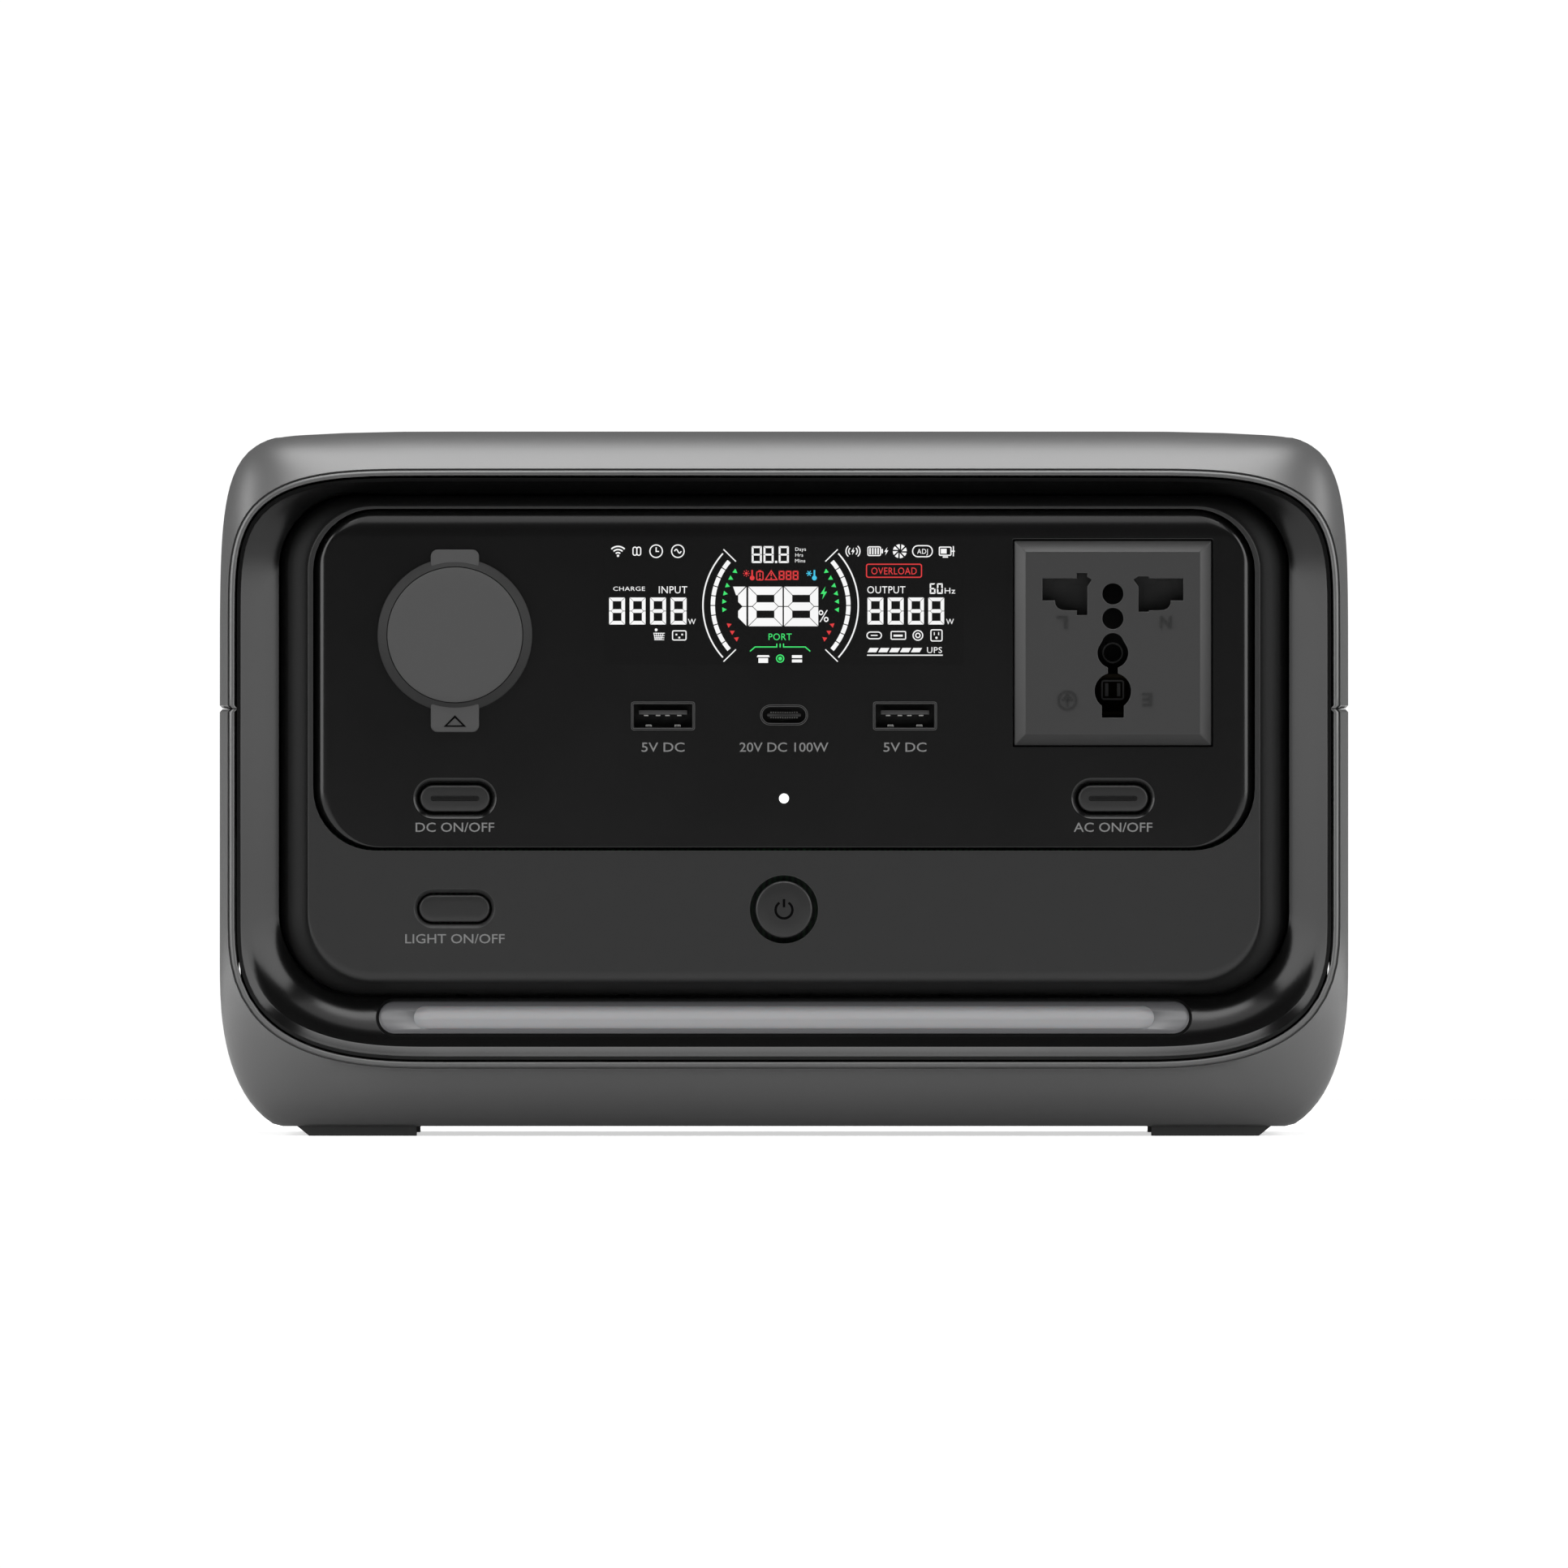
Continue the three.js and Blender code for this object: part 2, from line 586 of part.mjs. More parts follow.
function outletHoles() {
  // Each slot takes flat, square and round pins. Its upright part is taller on the live side.
  const slot = (side, low, high) => {
    const below = [[14.6, 8.85], [12, 8.85], [11.2, 7.4], [9.7, 6.8], [7.45, 6.8], [7.45, low]];
    const beside = [[5.2, low], [5.2, 11.6], [4.3, 13.1], [5.2, high]];
    const above = [[7.45, high], [7.45, 13.4], [14.6, 13.4]];
    return atOutlet([...below, ...beside, ...above].map(([u, v]) => [u * side, v]));
  };
  const neck = atOutlet([[-1.05, -7], [1.05, -7], [1.05, -4], [-1.05, -4]]);
  const tail = atOutlet([[-2.3, -15.45], [2.3, -15.45], [2.3, -12.5], [-2.3, -12.5]]);
  return [
    plate(slot(-1, 5.8, 14.5), FRONT, -100),
    plate(slot(1, 6.5, 13.7), FRONT, -100),
    rod(OUTLET.x, OUTLET.z + 10.2, 2.17, FRONT, -100, 16),
    rod(OUTLET.x, OUTLET.z + 5.2, 2.17, FRONT, -100, 16),
    rod(OUTLET.x, OUTLET.z - 1.94, 3.18, FRONT, -100, 20),
    rod(OUTLET.x, OUTLET.z - 9.9, 3.75, FRONT, -100, 20),
    plate(neck, FRONT, -100),
    plate(tail, FRONT, -100),
  ];
}

function outletFace() {
  const rectangleLoop = (width, height) => {
    const [a, b] = [width / 2, height / 2];
    return [[-a, -b], [a, -b], [a, b], [-a, b]].map(([u, v]) => [OUTLET.x + u, OUTLET.z + v]);
  };
  const top = rectangleLoop(OUTLET.width - 2 * FACE.bevel, OUTLET.height - 2 * FACE.bevel);
  const base = rectangleLoop(OUTLET.width, OUTLET.height);
  return cut(loft([[FACE.plateau, top], [FACE.shoulder, base], [FACE.back, base]]), outletHoles());
}

function outletHousing() {
  const outer = rectangle(OUTLET.x, OUTLET.z, 44, 45.6);
  const inner = rectangle(OUTLET.x, OUTLET.z, 44 - 2 * HOUSING.wall, 45.6 - 2 * HOUSING.wall);
  const body = plate(outer, HOUSING.front, HOUSING.back);
  return body.subtract(plate(inner, FRONT, HOUSING.back - HOUSING.wall));
}

// A brass strip bent to a U that opens towards the front, drawn on the side view.
function outletContact(u0, u1, v0, v1) {
  const [front, back, thick] = [-105.6, HOUSING.back - HOUSING.wall - GAP, 0.9];
  const [low, high] = [OUTLET.z + v0, OUTLET.z + v1];
  const section = polygon([
    [front, low],
    [back, low],
    [back, high],
    [front, high],
    [front, high - thick],
    [back - thick, high - thick],
    [back - thick, low + thick],
    [front, low + thick],
  ]);
  return bar(section, OUTLET.x + u0, OUTLET.x + u1);
}

function outletShutter() {
  const { low, high, half, notch, bridge } = SHUTTER;
  const shape = atOutlet([
    [-half, low],
    [-notch, low],
    [-notch, high - bridge],
    [notch, high - bridge],
    [notch, low],
    [half, low],
    [half, high],
    [-half, high],
  ]);
  return plate(shape, SHUTTER.front, SHUTTER.back);
}

add("outlet_face", outletFace(), OUTLET_GREY);
add("outlet_housing", outletHousing(), PLASTIC_BLACK);
add("outlet_contact_live", outletContact(-14.2, -5.6, 7.4, 14.8), BRASS);
add("outlet_contact_neutral", outletContact(5.6, 14.2, 7.4, 14.8), BRASS);
add("outlet_contact_earth", outletContact(-3.2, 3.2, -15, -6.4), BRASS);
add("outlet_shutter", outletShutter(), PLASTIC_BLACK);

// ---------------------------------------------------------------- car socket
// A steel barrel with a sprung centre contact, closed by a rubber cap on a living hinge at its top tab.
const CAP = {
  back: PANEL - GAP,
  edge: -114.2,
  face: -115.3,
  bevel: 1.95,
  tab: 10,
  tabTop: 121.6,
  tabLow: 83.75,
  plugBack: -107.8,
};

function socketBarrel() {
  const { x, z, barrel, bore, back } = SOCKET;
  const front = PANEL + GLOSS + GAP;
  const floor = back - 2;
  const inner = [[0, back], [0, floor], [bore, floor], [bore, front]];
  return turned(x, z, [...inner, [barrel, front], [barrel, back], [0, back]]);
}

function socketContact() {
  const back = SOCKET.back - 2 - GAP;
  const tip = [[0, back - 8], [1.4, back - 8], [2.6, back - 6.5]];
  const base = [[2.6, back - 3], [4, back - 2], [4, back], [0, back]];
  return turned(SOCKET.x, SOCKET.z, [...tip, ...base], 16);
}

function socketCap() {
  const { x, z, cap, bore } = SOCKET;
  const front = [[0, CAP.face], [cap - CAP.bevel, CAP.face], [cap, CAP.edge]];
  const disc = turned(x, z, [...front, [cap, CAP.back], [0, CAP.back]]);
  const tabs = rounded(x, (CAP.tabTop + CAP.tabLow) / 2, CAP.tab, CAP.tabTop - CAP.tabLow, 1.45);
  const plug = rod(x, z, bore - 1.2, CAP.edge, CAP.plugBack);
  const core = rod(x, z, bore - 3.2, CAP.back, CAP.plugBack + 1);
  return join([disc, plate(tabs, CAP.edge - 0.4, CAP.back, 3), plug]).subtract(core);
}

add("car_socket_barrel", socketBarrel(), STEEL);
add("car_socket_contact", socketContact(), BRASS);
add("car_socket_cap", socketCap(), RUBBER_GREY);

// ---------------------------------------------------------------- board behind the fascia
function frontBoard() {
  const sheet = block([-94, BOARD, 36], [94, BOARD + BOARD_WALL, 127]);
  const housing = rectangle(OUTLET.x, OUTLET.z, 44 + 1, 45.6 + 1);
  return cut(sheet, [
    plate(housing, BOARD - 1, BOARD + 3),
    rod(SOCKET.x, SOCKET.z, SOCKET.barrel + 0.5, BOARD - 1, BOARD + 3),
  ]);
}

add("front_board", frontBoard(), BOARD_GREEN);

// ---------------------------------------------------------------- battery
// Six round cells side by side, held at both ends, with their management board above.
const CELL = { radius: 16.2, pitch: 33.6, z: 24, front: -78, back: 62, steps: 20 };
const cellCentres = [-2.5, -1.5, -0.5, 0.5, 1.5, 2.5].map((i) => i * CELL.pitch);

cellCentres.forEach((x, i) => {
  add("cell_" + (i + 1), rod(x, CELL.z, CELL.radius, CELL.front, CELL.back, CELL.steps), CELL_BLUE);
});

function cellHolder(y0, y1) {
  const frame = block([-104, y0, CELL.z - 18.8], [104, y1, CELL.z + 18.8]);
  const holes = cellCentres.map((x) => rod(x, CELL.z, CELL.radius + GAP + 0.1, y0 - 1, y1 + 1, CELL.steps));
  return cut(frame, holes);
}

add("cell_holder_front", cellHolder(CELL.front, CELL.front + 14), PLASTIC_BLACK);
add("cell_holder_rear", cellHolder(CELL.back - 14, CELL.back), PLASTIC_BLACK);
add("battery_board", block([-95, -60, 45], [95, 40, 45 + BOARD_WALL]), BOARD_GREEN);

// ---------------------------------------------------------------- inverter
// The power board with its transformer and finned heat sink.
const POWER_BOARD_Z = 56;
const aboveBoard = POWER_BOARD_Z + BOARD_WALL + GAP;

function heatSink() {
  const base = block([0, -60, aboveBoard], [90, 40, aboveBoard + 4]);
  const fins = [];
  for (let i = 0; i < 12; i++) {
    const x = i * 8;
    fins.push(block([x, -60, aboveBoard], [x + 2, 40, aboveBoard + 28]));
  }
  return join([base, ...fins]);
}

function transformer() {
  const core = block([-78, -45, aboveBoard], [-34, 0, aboveBoard + 34]);
  const winding = rod(-56, aboveBoard + 17, 15, -56, 11, 20);
  return core.add(winding);
}

add("inverter_board", block([-98, -75, POWER_BOARD_Z], [98, 45, POWER_BOARD_Z + BOARD_WALL]), BOARD_GREEN);
add("heat_sink", heatSink(), ALUMINIUM);
add("transformer", transformer(), TAPE_YELLOW);

// ---------------------------------------------------------------- rear panel, inlets and fan
const FAN = { x: 60, z: 80, half: 30, front: 57, back: 72, bore: 28.4, hub: 13, blade: 27.2, blades: 7 };
const MAINS_INLET = { x: -60, z: 80, width: 28, height: 20.6, cavityWidth: 24, cavityHeight: 16.4 };
const SOLAR_INLET = { x: -26, z: 80, width: 21, height: 13, cavityWidth: 16, cavityHeight: 8.2 };
const REAR = { front: 72.6, back: 75.4 };

function rearPanel() {
  const sheet = loft([
    [REAR.front, inset(bodyOutline, WALL + GAP)],
    [REAR.back, inset(bodyOutline, WALL + GAP)],
  ]);
  const inletOpening = ({ x, z, width, height }) =>
    plate(rectangle(x, z, width + 2 * GAP, height + 2 * GAP), 60, 80);
  const slots = [];
  for (let i = -5; i <= 5; i++) {
    const x = FAN.x + i * 5;
    const length = 2 * Math.sqrt(27 ** 2 - (i * 5) ** 2);
    slots.push(plate(stadium(x, FAN.z, 2.6, length), 60, 80, 2));
  }
  return cut(sheet, [inletOpening(MAINS_INLET), inletOpening(SOLAR_INLET), ...slots]);
}

function inletHousing({ x, z, width, height, cavityWidth, cavityHeight }, front, floor) {
  const body = plate(rectangle(x, z, width, height), front, REAR.back);
  return body.subtract(plate(rectangle(x, z, cavityWidth, cavityHeight), floor, 80));
}

const MAINS_FLOOR = 58;
const mainsPin = (u, v) => {
  const [x, z] = [MAINS_INLET.x + u, MAINS_INLET.z + v];
  return block([x - 1, MAINS_FLOOR + GAP, z - 2], [x + 1, REAR.back - 1.4, z + 2]);
};
const SOLAR_FLOOR = 56;
const solarPin = (side) =>
  rod(SOLAR_INLET.x + side * 3.6, SOLAR_INLET.z, 1.75, SOLAR_FLOOR + GAP, REAR.back - 6, 12);

add("rear_panel", rearPanel(), PLASTIC_DARK);
add("ac_inlet_housing", inletHousing(MAINS_INLET, 48, MAINS_FLOOR), PLASTIC_BLACK);
add("ac_inlet_pin_live", mainsPin(-7, -2), STEEL);
add("ac_inlet_pin_neutral", mainsPin(7, -2), STEEL);
add("ac_inlet_pin_earth", mainsPin(0, 2), STEEL);
add("solar_inlet_housing", inletHousing(SOLAR_INLET, 50, SOLAR_FLOOR), PLASTIC_BLACK);
addPair("solar_inlet_pin", solarPin, BRASS);

// One rubber cover over both inlets, on a living hinge along its top edge.
const COVER = { left: -79, right: -11, low: 65, hinge: 96.5, front: 75.8, back: 78.4 };
const coverShape = rounded(
  (COVER.left + COVER.right) / 2,
  (COVER.low + COVER.hinge + 0.2) / 2,
  COVER.right - COVER.left,
  COVER.hinge + 0.2 - COVER.low,
  4,
);
add("input_cover", plate(coverShape, COVER.front, COVER.back, 4), RUBBER_GREY);

function fanFrame() {
  const { x, z, half, front, back, bore, hub } = FAN;
  const square = plate(rounded(x, z, 2 * half, 2 * half, 3), front, back, 3);
  const well = cut(square, [rod(x, z, bore, front - 1, back + 1, 32)]);
  const spokes = [0, 1].map((i) => {
    const [w, h] = i ? [2 * bore + 1, 3] : [3, 2 * bore + 1];
    return plate(rectangle(x, z, w, h), front, front + 2);
  });
  return join([well, rod(x, z, hub, front, front + 2, 20), ...spokes]);
}

function fanRotor() {
  const { x, z, front, back, hub, blade, blades } = FAN;
  const [y0, y1] = [front + 2 + GAP, back - 1];
  const shapes = [rod(x, z, hub, y0, y1, 20)];
  for (let i = 0; i < blades; i++) {
    const sheet = new THREE.BoxGeometry(1.2, 14, blade - hub + 2).rotateZ(0.75);
    sheet.translate(0, 0, (blade + hub - 2) / 2).rotateY((i / blades) * 2 * Math.PI);
    const placed = solid(sheet.translate(x, (y0 + y1) / 2, z));
    shapes.push(placed.intersect(rod(x, z, blade, y0, y1, 28)));
  }
  return join(shapes);
}

add("fan_frame", fanFrame(), PLASTIC_BLACK);
add("fan_rotor", fanRotor(), PLASTIC_BLACK);

// ---------------------------------------------------------------- carry handle
// A loop behind the body: two arms and a cross bar round the finger gap. Its upper corners are squarer than
// the shell's, and its underside rises towards the cross bar.
const HANDLE = { top: 144.4, gapHalf: 93, gapBack: 95, inner: 10, outer: 30 };

function carryHandle() {
  const root = BODY_BACK + GAP;
  const { gapHalf, gapBack, inner, outer } = HANDLE;
  const plan = new THREE.Shape();
  plan.moveTo(-BODY_HALF, root);
  plan.lineTo(-gapHalf, root);
  plan.absarc(-gapHalf + inner, gapBack - inner, inner, Math.PI, Math.PI / 2, true);
  plan.absarc(gapHalf - inner, gapBack - inner, inner, Math.PI / 2, 0, true);
  plan.lineTo(gapHalf, root);
  plan.lineTo(BODY_HALF, root);
  plan.absarc(BODY_HALF - outer, BACK - outer, outer, 0, Math.PI / 2);
  plan.absarc(-BODY_HALF + outer, BACK - outer, outer, Math.PI / 2, Math.PI);
  const across = outline({
    half: BODY_HALF,
    top: HANDLE.top,
    bottom: 90,
    upper: { wide: 9, tall: 21, power: 1.8 },
    lower: { wide: 5, tall: 5, power: 2 },
  });
  const side = polygon([
    [root - 1, 104],
    [86, 111],
    [97, 118],
    [112, 119],
    [BACK + 1, 123],
    [BACK + 1, 141],
    [112, HANDLE.top + 1],
    [root - 1, HANDLE.top + 1],
  ]);
  const loop = slab(plan, 95, 150);
  return loop.intersect(loft([[root - 2, across], [BACK + 2, across]])).intersect(bar(side, -130, 130));
}

add("carry_handle", carryHandle(), PLASTIC_GREY);

export default station;
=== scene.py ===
import math

import bmesh
import bpy
import mathutils
import numpy as np
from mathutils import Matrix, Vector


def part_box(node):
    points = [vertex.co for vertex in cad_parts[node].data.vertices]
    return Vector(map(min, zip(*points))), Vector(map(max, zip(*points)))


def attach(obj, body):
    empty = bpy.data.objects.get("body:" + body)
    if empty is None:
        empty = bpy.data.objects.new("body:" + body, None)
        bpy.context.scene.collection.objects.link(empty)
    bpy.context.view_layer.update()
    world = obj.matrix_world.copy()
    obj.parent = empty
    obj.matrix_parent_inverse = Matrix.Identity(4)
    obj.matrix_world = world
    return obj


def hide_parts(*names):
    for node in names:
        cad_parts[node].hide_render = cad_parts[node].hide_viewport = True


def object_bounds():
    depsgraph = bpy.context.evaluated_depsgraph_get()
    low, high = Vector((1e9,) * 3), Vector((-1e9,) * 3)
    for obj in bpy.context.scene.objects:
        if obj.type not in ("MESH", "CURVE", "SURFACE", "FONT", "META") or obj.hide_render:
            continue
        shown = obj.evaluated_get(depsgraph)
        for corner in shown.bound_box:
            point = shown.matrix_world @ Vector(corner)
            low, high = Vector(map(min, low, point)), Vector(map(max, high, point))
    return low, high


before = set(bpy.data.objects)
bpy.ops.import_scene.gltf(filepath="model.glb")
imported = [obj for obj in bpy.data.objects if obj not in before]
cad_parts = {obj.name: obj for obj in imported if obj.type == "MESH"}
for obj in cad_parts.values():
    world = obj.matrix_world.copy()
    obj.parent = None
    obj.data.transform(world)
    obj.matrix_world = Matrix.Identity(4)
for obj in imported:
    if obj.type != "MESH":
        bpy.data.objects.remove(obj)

cad_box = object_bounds()
MM = 0.001  # sizes below are in millimetres; a mesh is made in metres


# ==== Camera ====
# A long lens level with the middle of the front, so that the front shows almost without perspective. The
# frame is 325 mm wide at the front of the body.
frame_width = 324.9
aim_height = 73.0
lens = bpy.data.cameras.new("camera")
lens.lens = 1500
lens.sensor_width = 36
lens.clip_end = 60
camera = bpy.data.objects.new("camera", lens)
camera_distance = lens.lens / lens.sensor_width * frame_width
camera.location = (0, (cad_box[0].y / MM - camera_distance) * MM, aim_height * MM)
camera.rotation_euler = (math.pi / 2, 0, 0)
bpy.context.collection.objects.link(camera)
bpy.context.scene.camera = camera


# ==== Studio ====
# A pale floor and a surround that is white to the camera and dim to everything else, so the object reflects a
# dim grey room. Soft boxes stand overhead, high in front, and large to each side.
def linear(hex_colour):
    """An sRGB colour, written as RRGGBB, in the linear values that a shader takes."""
    parts = [int(hex_colour[i : i + 2], 16) / 255 for i in (0, 2, 4)]
    return (*[p / 12.92 if p <= 0.04045 else ((p + 0.055) / 1.055) ** 2.4 for p in parts], 1)


def set_inputs(material, node, inputs):
    """Gives each named input of a node either a value or a link from the output that is given for it."""
    for name, value in inputs.items():
        if isinstance(value, bpy.types.NodeSocket):
            material.node_tree.links.new(value, node.inputs[name])
        else:
            node.inputs[name].default_value = value


def add_node(material, kind, inputs=None, **settings):
    """Adds a node with its settings, and then sets or links its inputs."""
    node = material.node_tree.nodes.new("ShaderNode" + kind)
    for name, value in settings.items():
        setattr(node, name, value)
    set_inputs(material, node, inputs or {})
    return node


def make_piece(name, points, faces, sharp=32, closed=True):
    """A mesh object from points in millimetres and lists of corners, shaded smooth except where two faces
    meet at more than the sharp angle. The faces of a closed piece are turned outwards."""
    mesh = bpy.data.meshes.new(name)
    mesh.from_pydata((np.asarray(points, float) * MM).tolist(), [], [list(map(int, face)) for face in faces])
    work = bmesh.new()
    work.from_mesh(mesh)
    bmesh.ops.remove_doubles(work, verts=work.verts, dist=0.0005 * MM)
    bmesh.ops.delete(work, geom=[v for v in work.verts if not v.link_faces], context="VERTS")
    if closed:
        bmesh.ops.recalc_face_normals(work, faces=work.faces)
    work.to_mesh(mesh)
    work.free()
    mesh.shade_smooth()
    mesh.set_sharp_from_angle(angle=math.radians(sharp))
    piece = bpy.data.objects.new(name, mesh)
    bpy.context.collection.objects.link(piece)
    return piece


def new_material(name):
    """An empty node material and its shader, which already feeds the output."""
    material = bpy.data.materials.new(name)
    material.use_nodes = True
    return material, material.node_tree.nodes["Principled BSDF"]


bpy.context.scene.view_settings.view_transform = "Standard"
floor_half = 1500
floor_corners = [(-floor_half, -floor_half, 0), (floor_half, -floor_half, 0), (floor_half, floor_half, 0)]
floor = make_piece("floor", [*floor_corners, (-floor_half, floor_half, 0)], [(0, 1, 2, 3)], closed=False)
floor_paint, floor_shader = new_material("pale_matt_floor_paint")
floor_shader.inputs["Roughness"].default_value = 0.9
floor_shader.inputs["Emission Color"].default_value = (1, 1, 1, 1)
camera_ray = add_node(floor_paint, "LightPath").outputs["Is Camera Ray"]
glow = add_node(floor_paint, "MapRange", {
    "Value": camera_ray,
    "To Min": 0.1,
})
shade = add_node(floor_paint, "Mix", {
    "Factor": camera_ray,
    "A": linear("d4d4d4"),
    "B": linear("f4f4f4"),
}, data_type="RGBA")
floor_paint.node_tree.links.new(shade.outputs["Result"], floor_shader.inputs["Base Color"])
glow.inputs["To Max"].default_value = 0.6
floor_paint.node_tree.links.new(glow.outputs["Result"], floor_shader.inputs["Emission Strength"])
floor_paint.cycles.emission_sampling = "NONE"
floor.data.materials.append(floor_paint)

world = bpy.data.worlds.new("white_surround")
world.use_nodes = True
surround = world.node_tree.nodes["Background"]
ray = add_node(world, "LightPath").outputs["Is Camera Ray"]
seen = add_node(world, "MapRange", {
    "Value": ray,
    "To Min": 0.1,
    "To Max": 1.05,
})
world.node_tree.links.new(seen.outputs["Result"], surround.inputs["Strength"])
surround.inputs["Color"].default_value = (1, 1, 1, 1)
bpy.context.scene.world = world


def soft_box(name, place, target, width, height, power):
    """A rectangular area light, sizes in metres, that faces its target."""
    light = bpy.data.lights.new(name, "AREA")
    light.shape = "RECTANGLE"
    light.size, light.size_y, light.energy = width, height, power
    holder = bpy.data.objects.new(name, light)
    holder.location = place
    aim = (np.array(target) - place).tolist()
    holder.rotation_euler = mathutils.Vector(aim).to_track_quat("-Z", "Y").to_euler()
    bpy.context.collection.objects.link(holder)


soft_box("overhead_soft_box", (0, -0.15, 1.2), (0, -0.05, 0.1), 0.9, 1.1, 16)
soft_box("upper_front_soft_box", (0, -1.0, 1.15), (0, -0.1, 0.12), 1.3, 0.5, 3)
soft_box("left_soft_box", (-1.3, -0.3, 0.3), (0, -0.1, 0.07), 1.7, 1.7, 32)
soft_box("right_soft_box", (1.3, -0.3, 0.3), (0, -0.1, 0.07), 1.7, 1.7, 32)


# ==== Shell ====
# The case is two moulded halves of grey plastic with a fine spark-eroded grain, screwed together from below.
# They meet in a shallow V groove, and their front edge slopes in to a narrow rounded lip.
def outline(half, top, bottom, upper, lower, crown=(0, 0), steps=24):
    """The right half of a front-view outline, from the middle of its bottom to the middle of its top. Each
    corner is a quarter of a superellipse (wide, tall, power): x = wide * cos(t) ** (2 / power) and
    z = tall * sin(t) ** (2 / power). The top sinks by crown[1] times the square of x beyond crown[0]."""
    t = np.linspace(0, math.pi / 2, steps + 1)
    wide, tall, power = lower
    across, up = np.sin(t) ** (2 / power), np.cos(t) ** (2 / power)
    low = np.c_[half - wide + wide * across, bottom + tall - tall * up]
    wide, tall, power = upper
    across, up = np.cos(t) ** (2 / power), np.sin(t) ** (2 / power)
    high = np.c_[half - wide + wide * across, top - tall + tall * up]
    flat = np.c_[np.linspace(half - wide, 0, 9)[1:], np.full(8, float(top))]
    curve = np.concatenate([[[0, bottom]], low, high, flat])
    curve[:, 1] -= crown[1] * np.clip(curve[:, 0] - crown[0], 0, None) ** 2 * (curve[:, 1] > top / 2)
    return curve


def normals(curve):
    """Unit vectors square to a half outline, pointing out of it, from the direction between the neighbours of
    each point. At the two ends they stand straight down and straight up."""
    along = np.gradient(curve, axis=0)
    along[0], along[-1] = (1, 0), (-1, 0)
    along /= np.linalg.norm(along, axis=1, keepdims=True) + 1e-12
    return np.c_[along[:, 1], -along[:, 0]]


def inset(curve, distance):
    """The same half outline moved inwards along its normals."""
    return curve - normals(curve) * distance


def sample(curve, cuts, counts):
    """Points along a curve. Between each two cuts, which are distances along it, the steps are equal."""
    run = np.r_[0, np.cumsum(np.linalg.norm(np.diff(curve, axis=0), axis=1))]
    pieces = [np.linspace(a, b, n + 1)[:-1] for a, b, n in zip(cuts, cuts[1:], counts)]
    places = np.r_[np.concatenate(pieces), cuts[-1]]
    return np.c_[np.interp(places, run, curve[:, 0]), np.interp(places, run, curve[:, 1])]


def distance_at(curve, z):
    """How far along a half outline its side passes the height z."""
    run = np.r_[0, np.cumsum(np.linalg.norm(np.diff(curve, axis=0), axis=1))]
    return float(np.interp(z, curve[:, 1] + 1e-9 * run, run))


def mirrored(half_curve):
    """The whole loop, from the middle of the bottom round by the right, the top and the left."""
    return np.concatenate([half_curve, (half_curve[1:-1] * (-1, 1))[::-1]])


def walled_sheet(name, outer, inner, kept, sharp=32):
    """Two grids [row, column, xyz] of the same size as the two faces of one wall. Cells that aren't kept are
    left open, and every border between an open and a kept cell gets a wall from one face to the other."""
    rows, columns = outer.shape[:2]
    index = np.arange(rows * columns).reshape(rows, columns)
    a, b, c, d = index[:-1, :-1], index[:-1, 1:], index[1:, 1:], index[1:, :-1]
    far = rows * columns
    faces = [np.stack([a, d, c, b], -1)[kept], np.stack([a, b, c, d], -1)[kept] + far]
    edge = np.pad(kept, 1)
    open_to = {
        (0, 1): (edge[:-2, 1:-1], a, b),
        (1, 2): (edge[1:-1, 2:], b, c),
        (2, 3): (edge[2:, 1:-1], c, d),
        (3, 0): (edge[1:-1, :-2], d, a),
    }
    for neighbour, start, end in open_to.values():
        border = kept & ~neighbour
        p, q = start[border], end[border]
        faces.append(np.stack([p, q, q + far, p + far], -1))
    points = np.concatenate([outer.reshape(-1, 3), inner.reshape(-1, 3)])
    return make_piece(name, points, np.concatenate(faces).tolist(), sharp)


def at_depth(curve, depth):
    """A front-view curve [x, z] as points [x, y, z] at one depth, or at one depth for each point."""
    return np.stack([curve[:, 0], np.broadcast_to(depth, len(curve)), curve[:, 1]], -1)


shell_lo, shell_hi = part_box("upper_shell")
front = shell_lo.y / MM
back = shell_hi.y / MM
seam = 88.6
wall = 2.5
underside = 2.0
body_curve = outline(117.05, 146.12, 0, (26, 60, 5.6), (21.3, 34.8, 2.45), (74, 0.00103))
body_curve[:, 1] = np.maximum(body_curve[:, 1], underside)
opening_curve = outline(113.85, 136.9, 15.4, (44.4, 32.5, 4), (41.7, 29, 2.72))
vent_lo, vent_hi = (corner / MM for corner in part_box("side_vent_right"))
port_lo, port_hi = (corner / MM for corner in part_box("expansion_port_cover"))
fit = 0.3


def slope_share(depth, reach=16.0, downward=0.0):
    """How far the slope behind the lip has come out to the body's outline, 0 to 1. With q the depth over the
    slope's reach, it is round upwards and sideways, q(2 - q), and downwards the S curve 3qq - 2qqq."""
    q = np.clip(depth / reach, 0, 1)
    return (1 - downward) * (1 - (1 - q) ** 2) + downward * (3 * q**2 - 2 * q**3)


def lower_stations(curve):
    """The lower half of an outline, cut so that the vent windows and the port underneath have edges."""
    cuts = [0, port_hi.x + fit]
    cuts += [distance_at(curve, z) for z in (vent_lo.z - fit, vent_hi.z + fit, seam - 0.7)]
    points = sample(curve, cuts, [4, 46, 12, 4])
    last = sample(curve, [distance_at(curve, seam - 0.1), distance_at(curve, seam)], [1])[:1]
    return np.concatenate([points, last])


def upper_stations(curve):
    """The upper half of an outline, from the groove at the seam to the middle of the top."""
    run = np.linalg.norm(np.diff(curve, axis=0), axis=1).sum()
    first = sample(curve, [distance_at(curve, seam + 0.1), run], [1])[:1]
    return np.concatenate([first, sample(curve, [distance_at(curve, seam + 0.7), run], [80])])


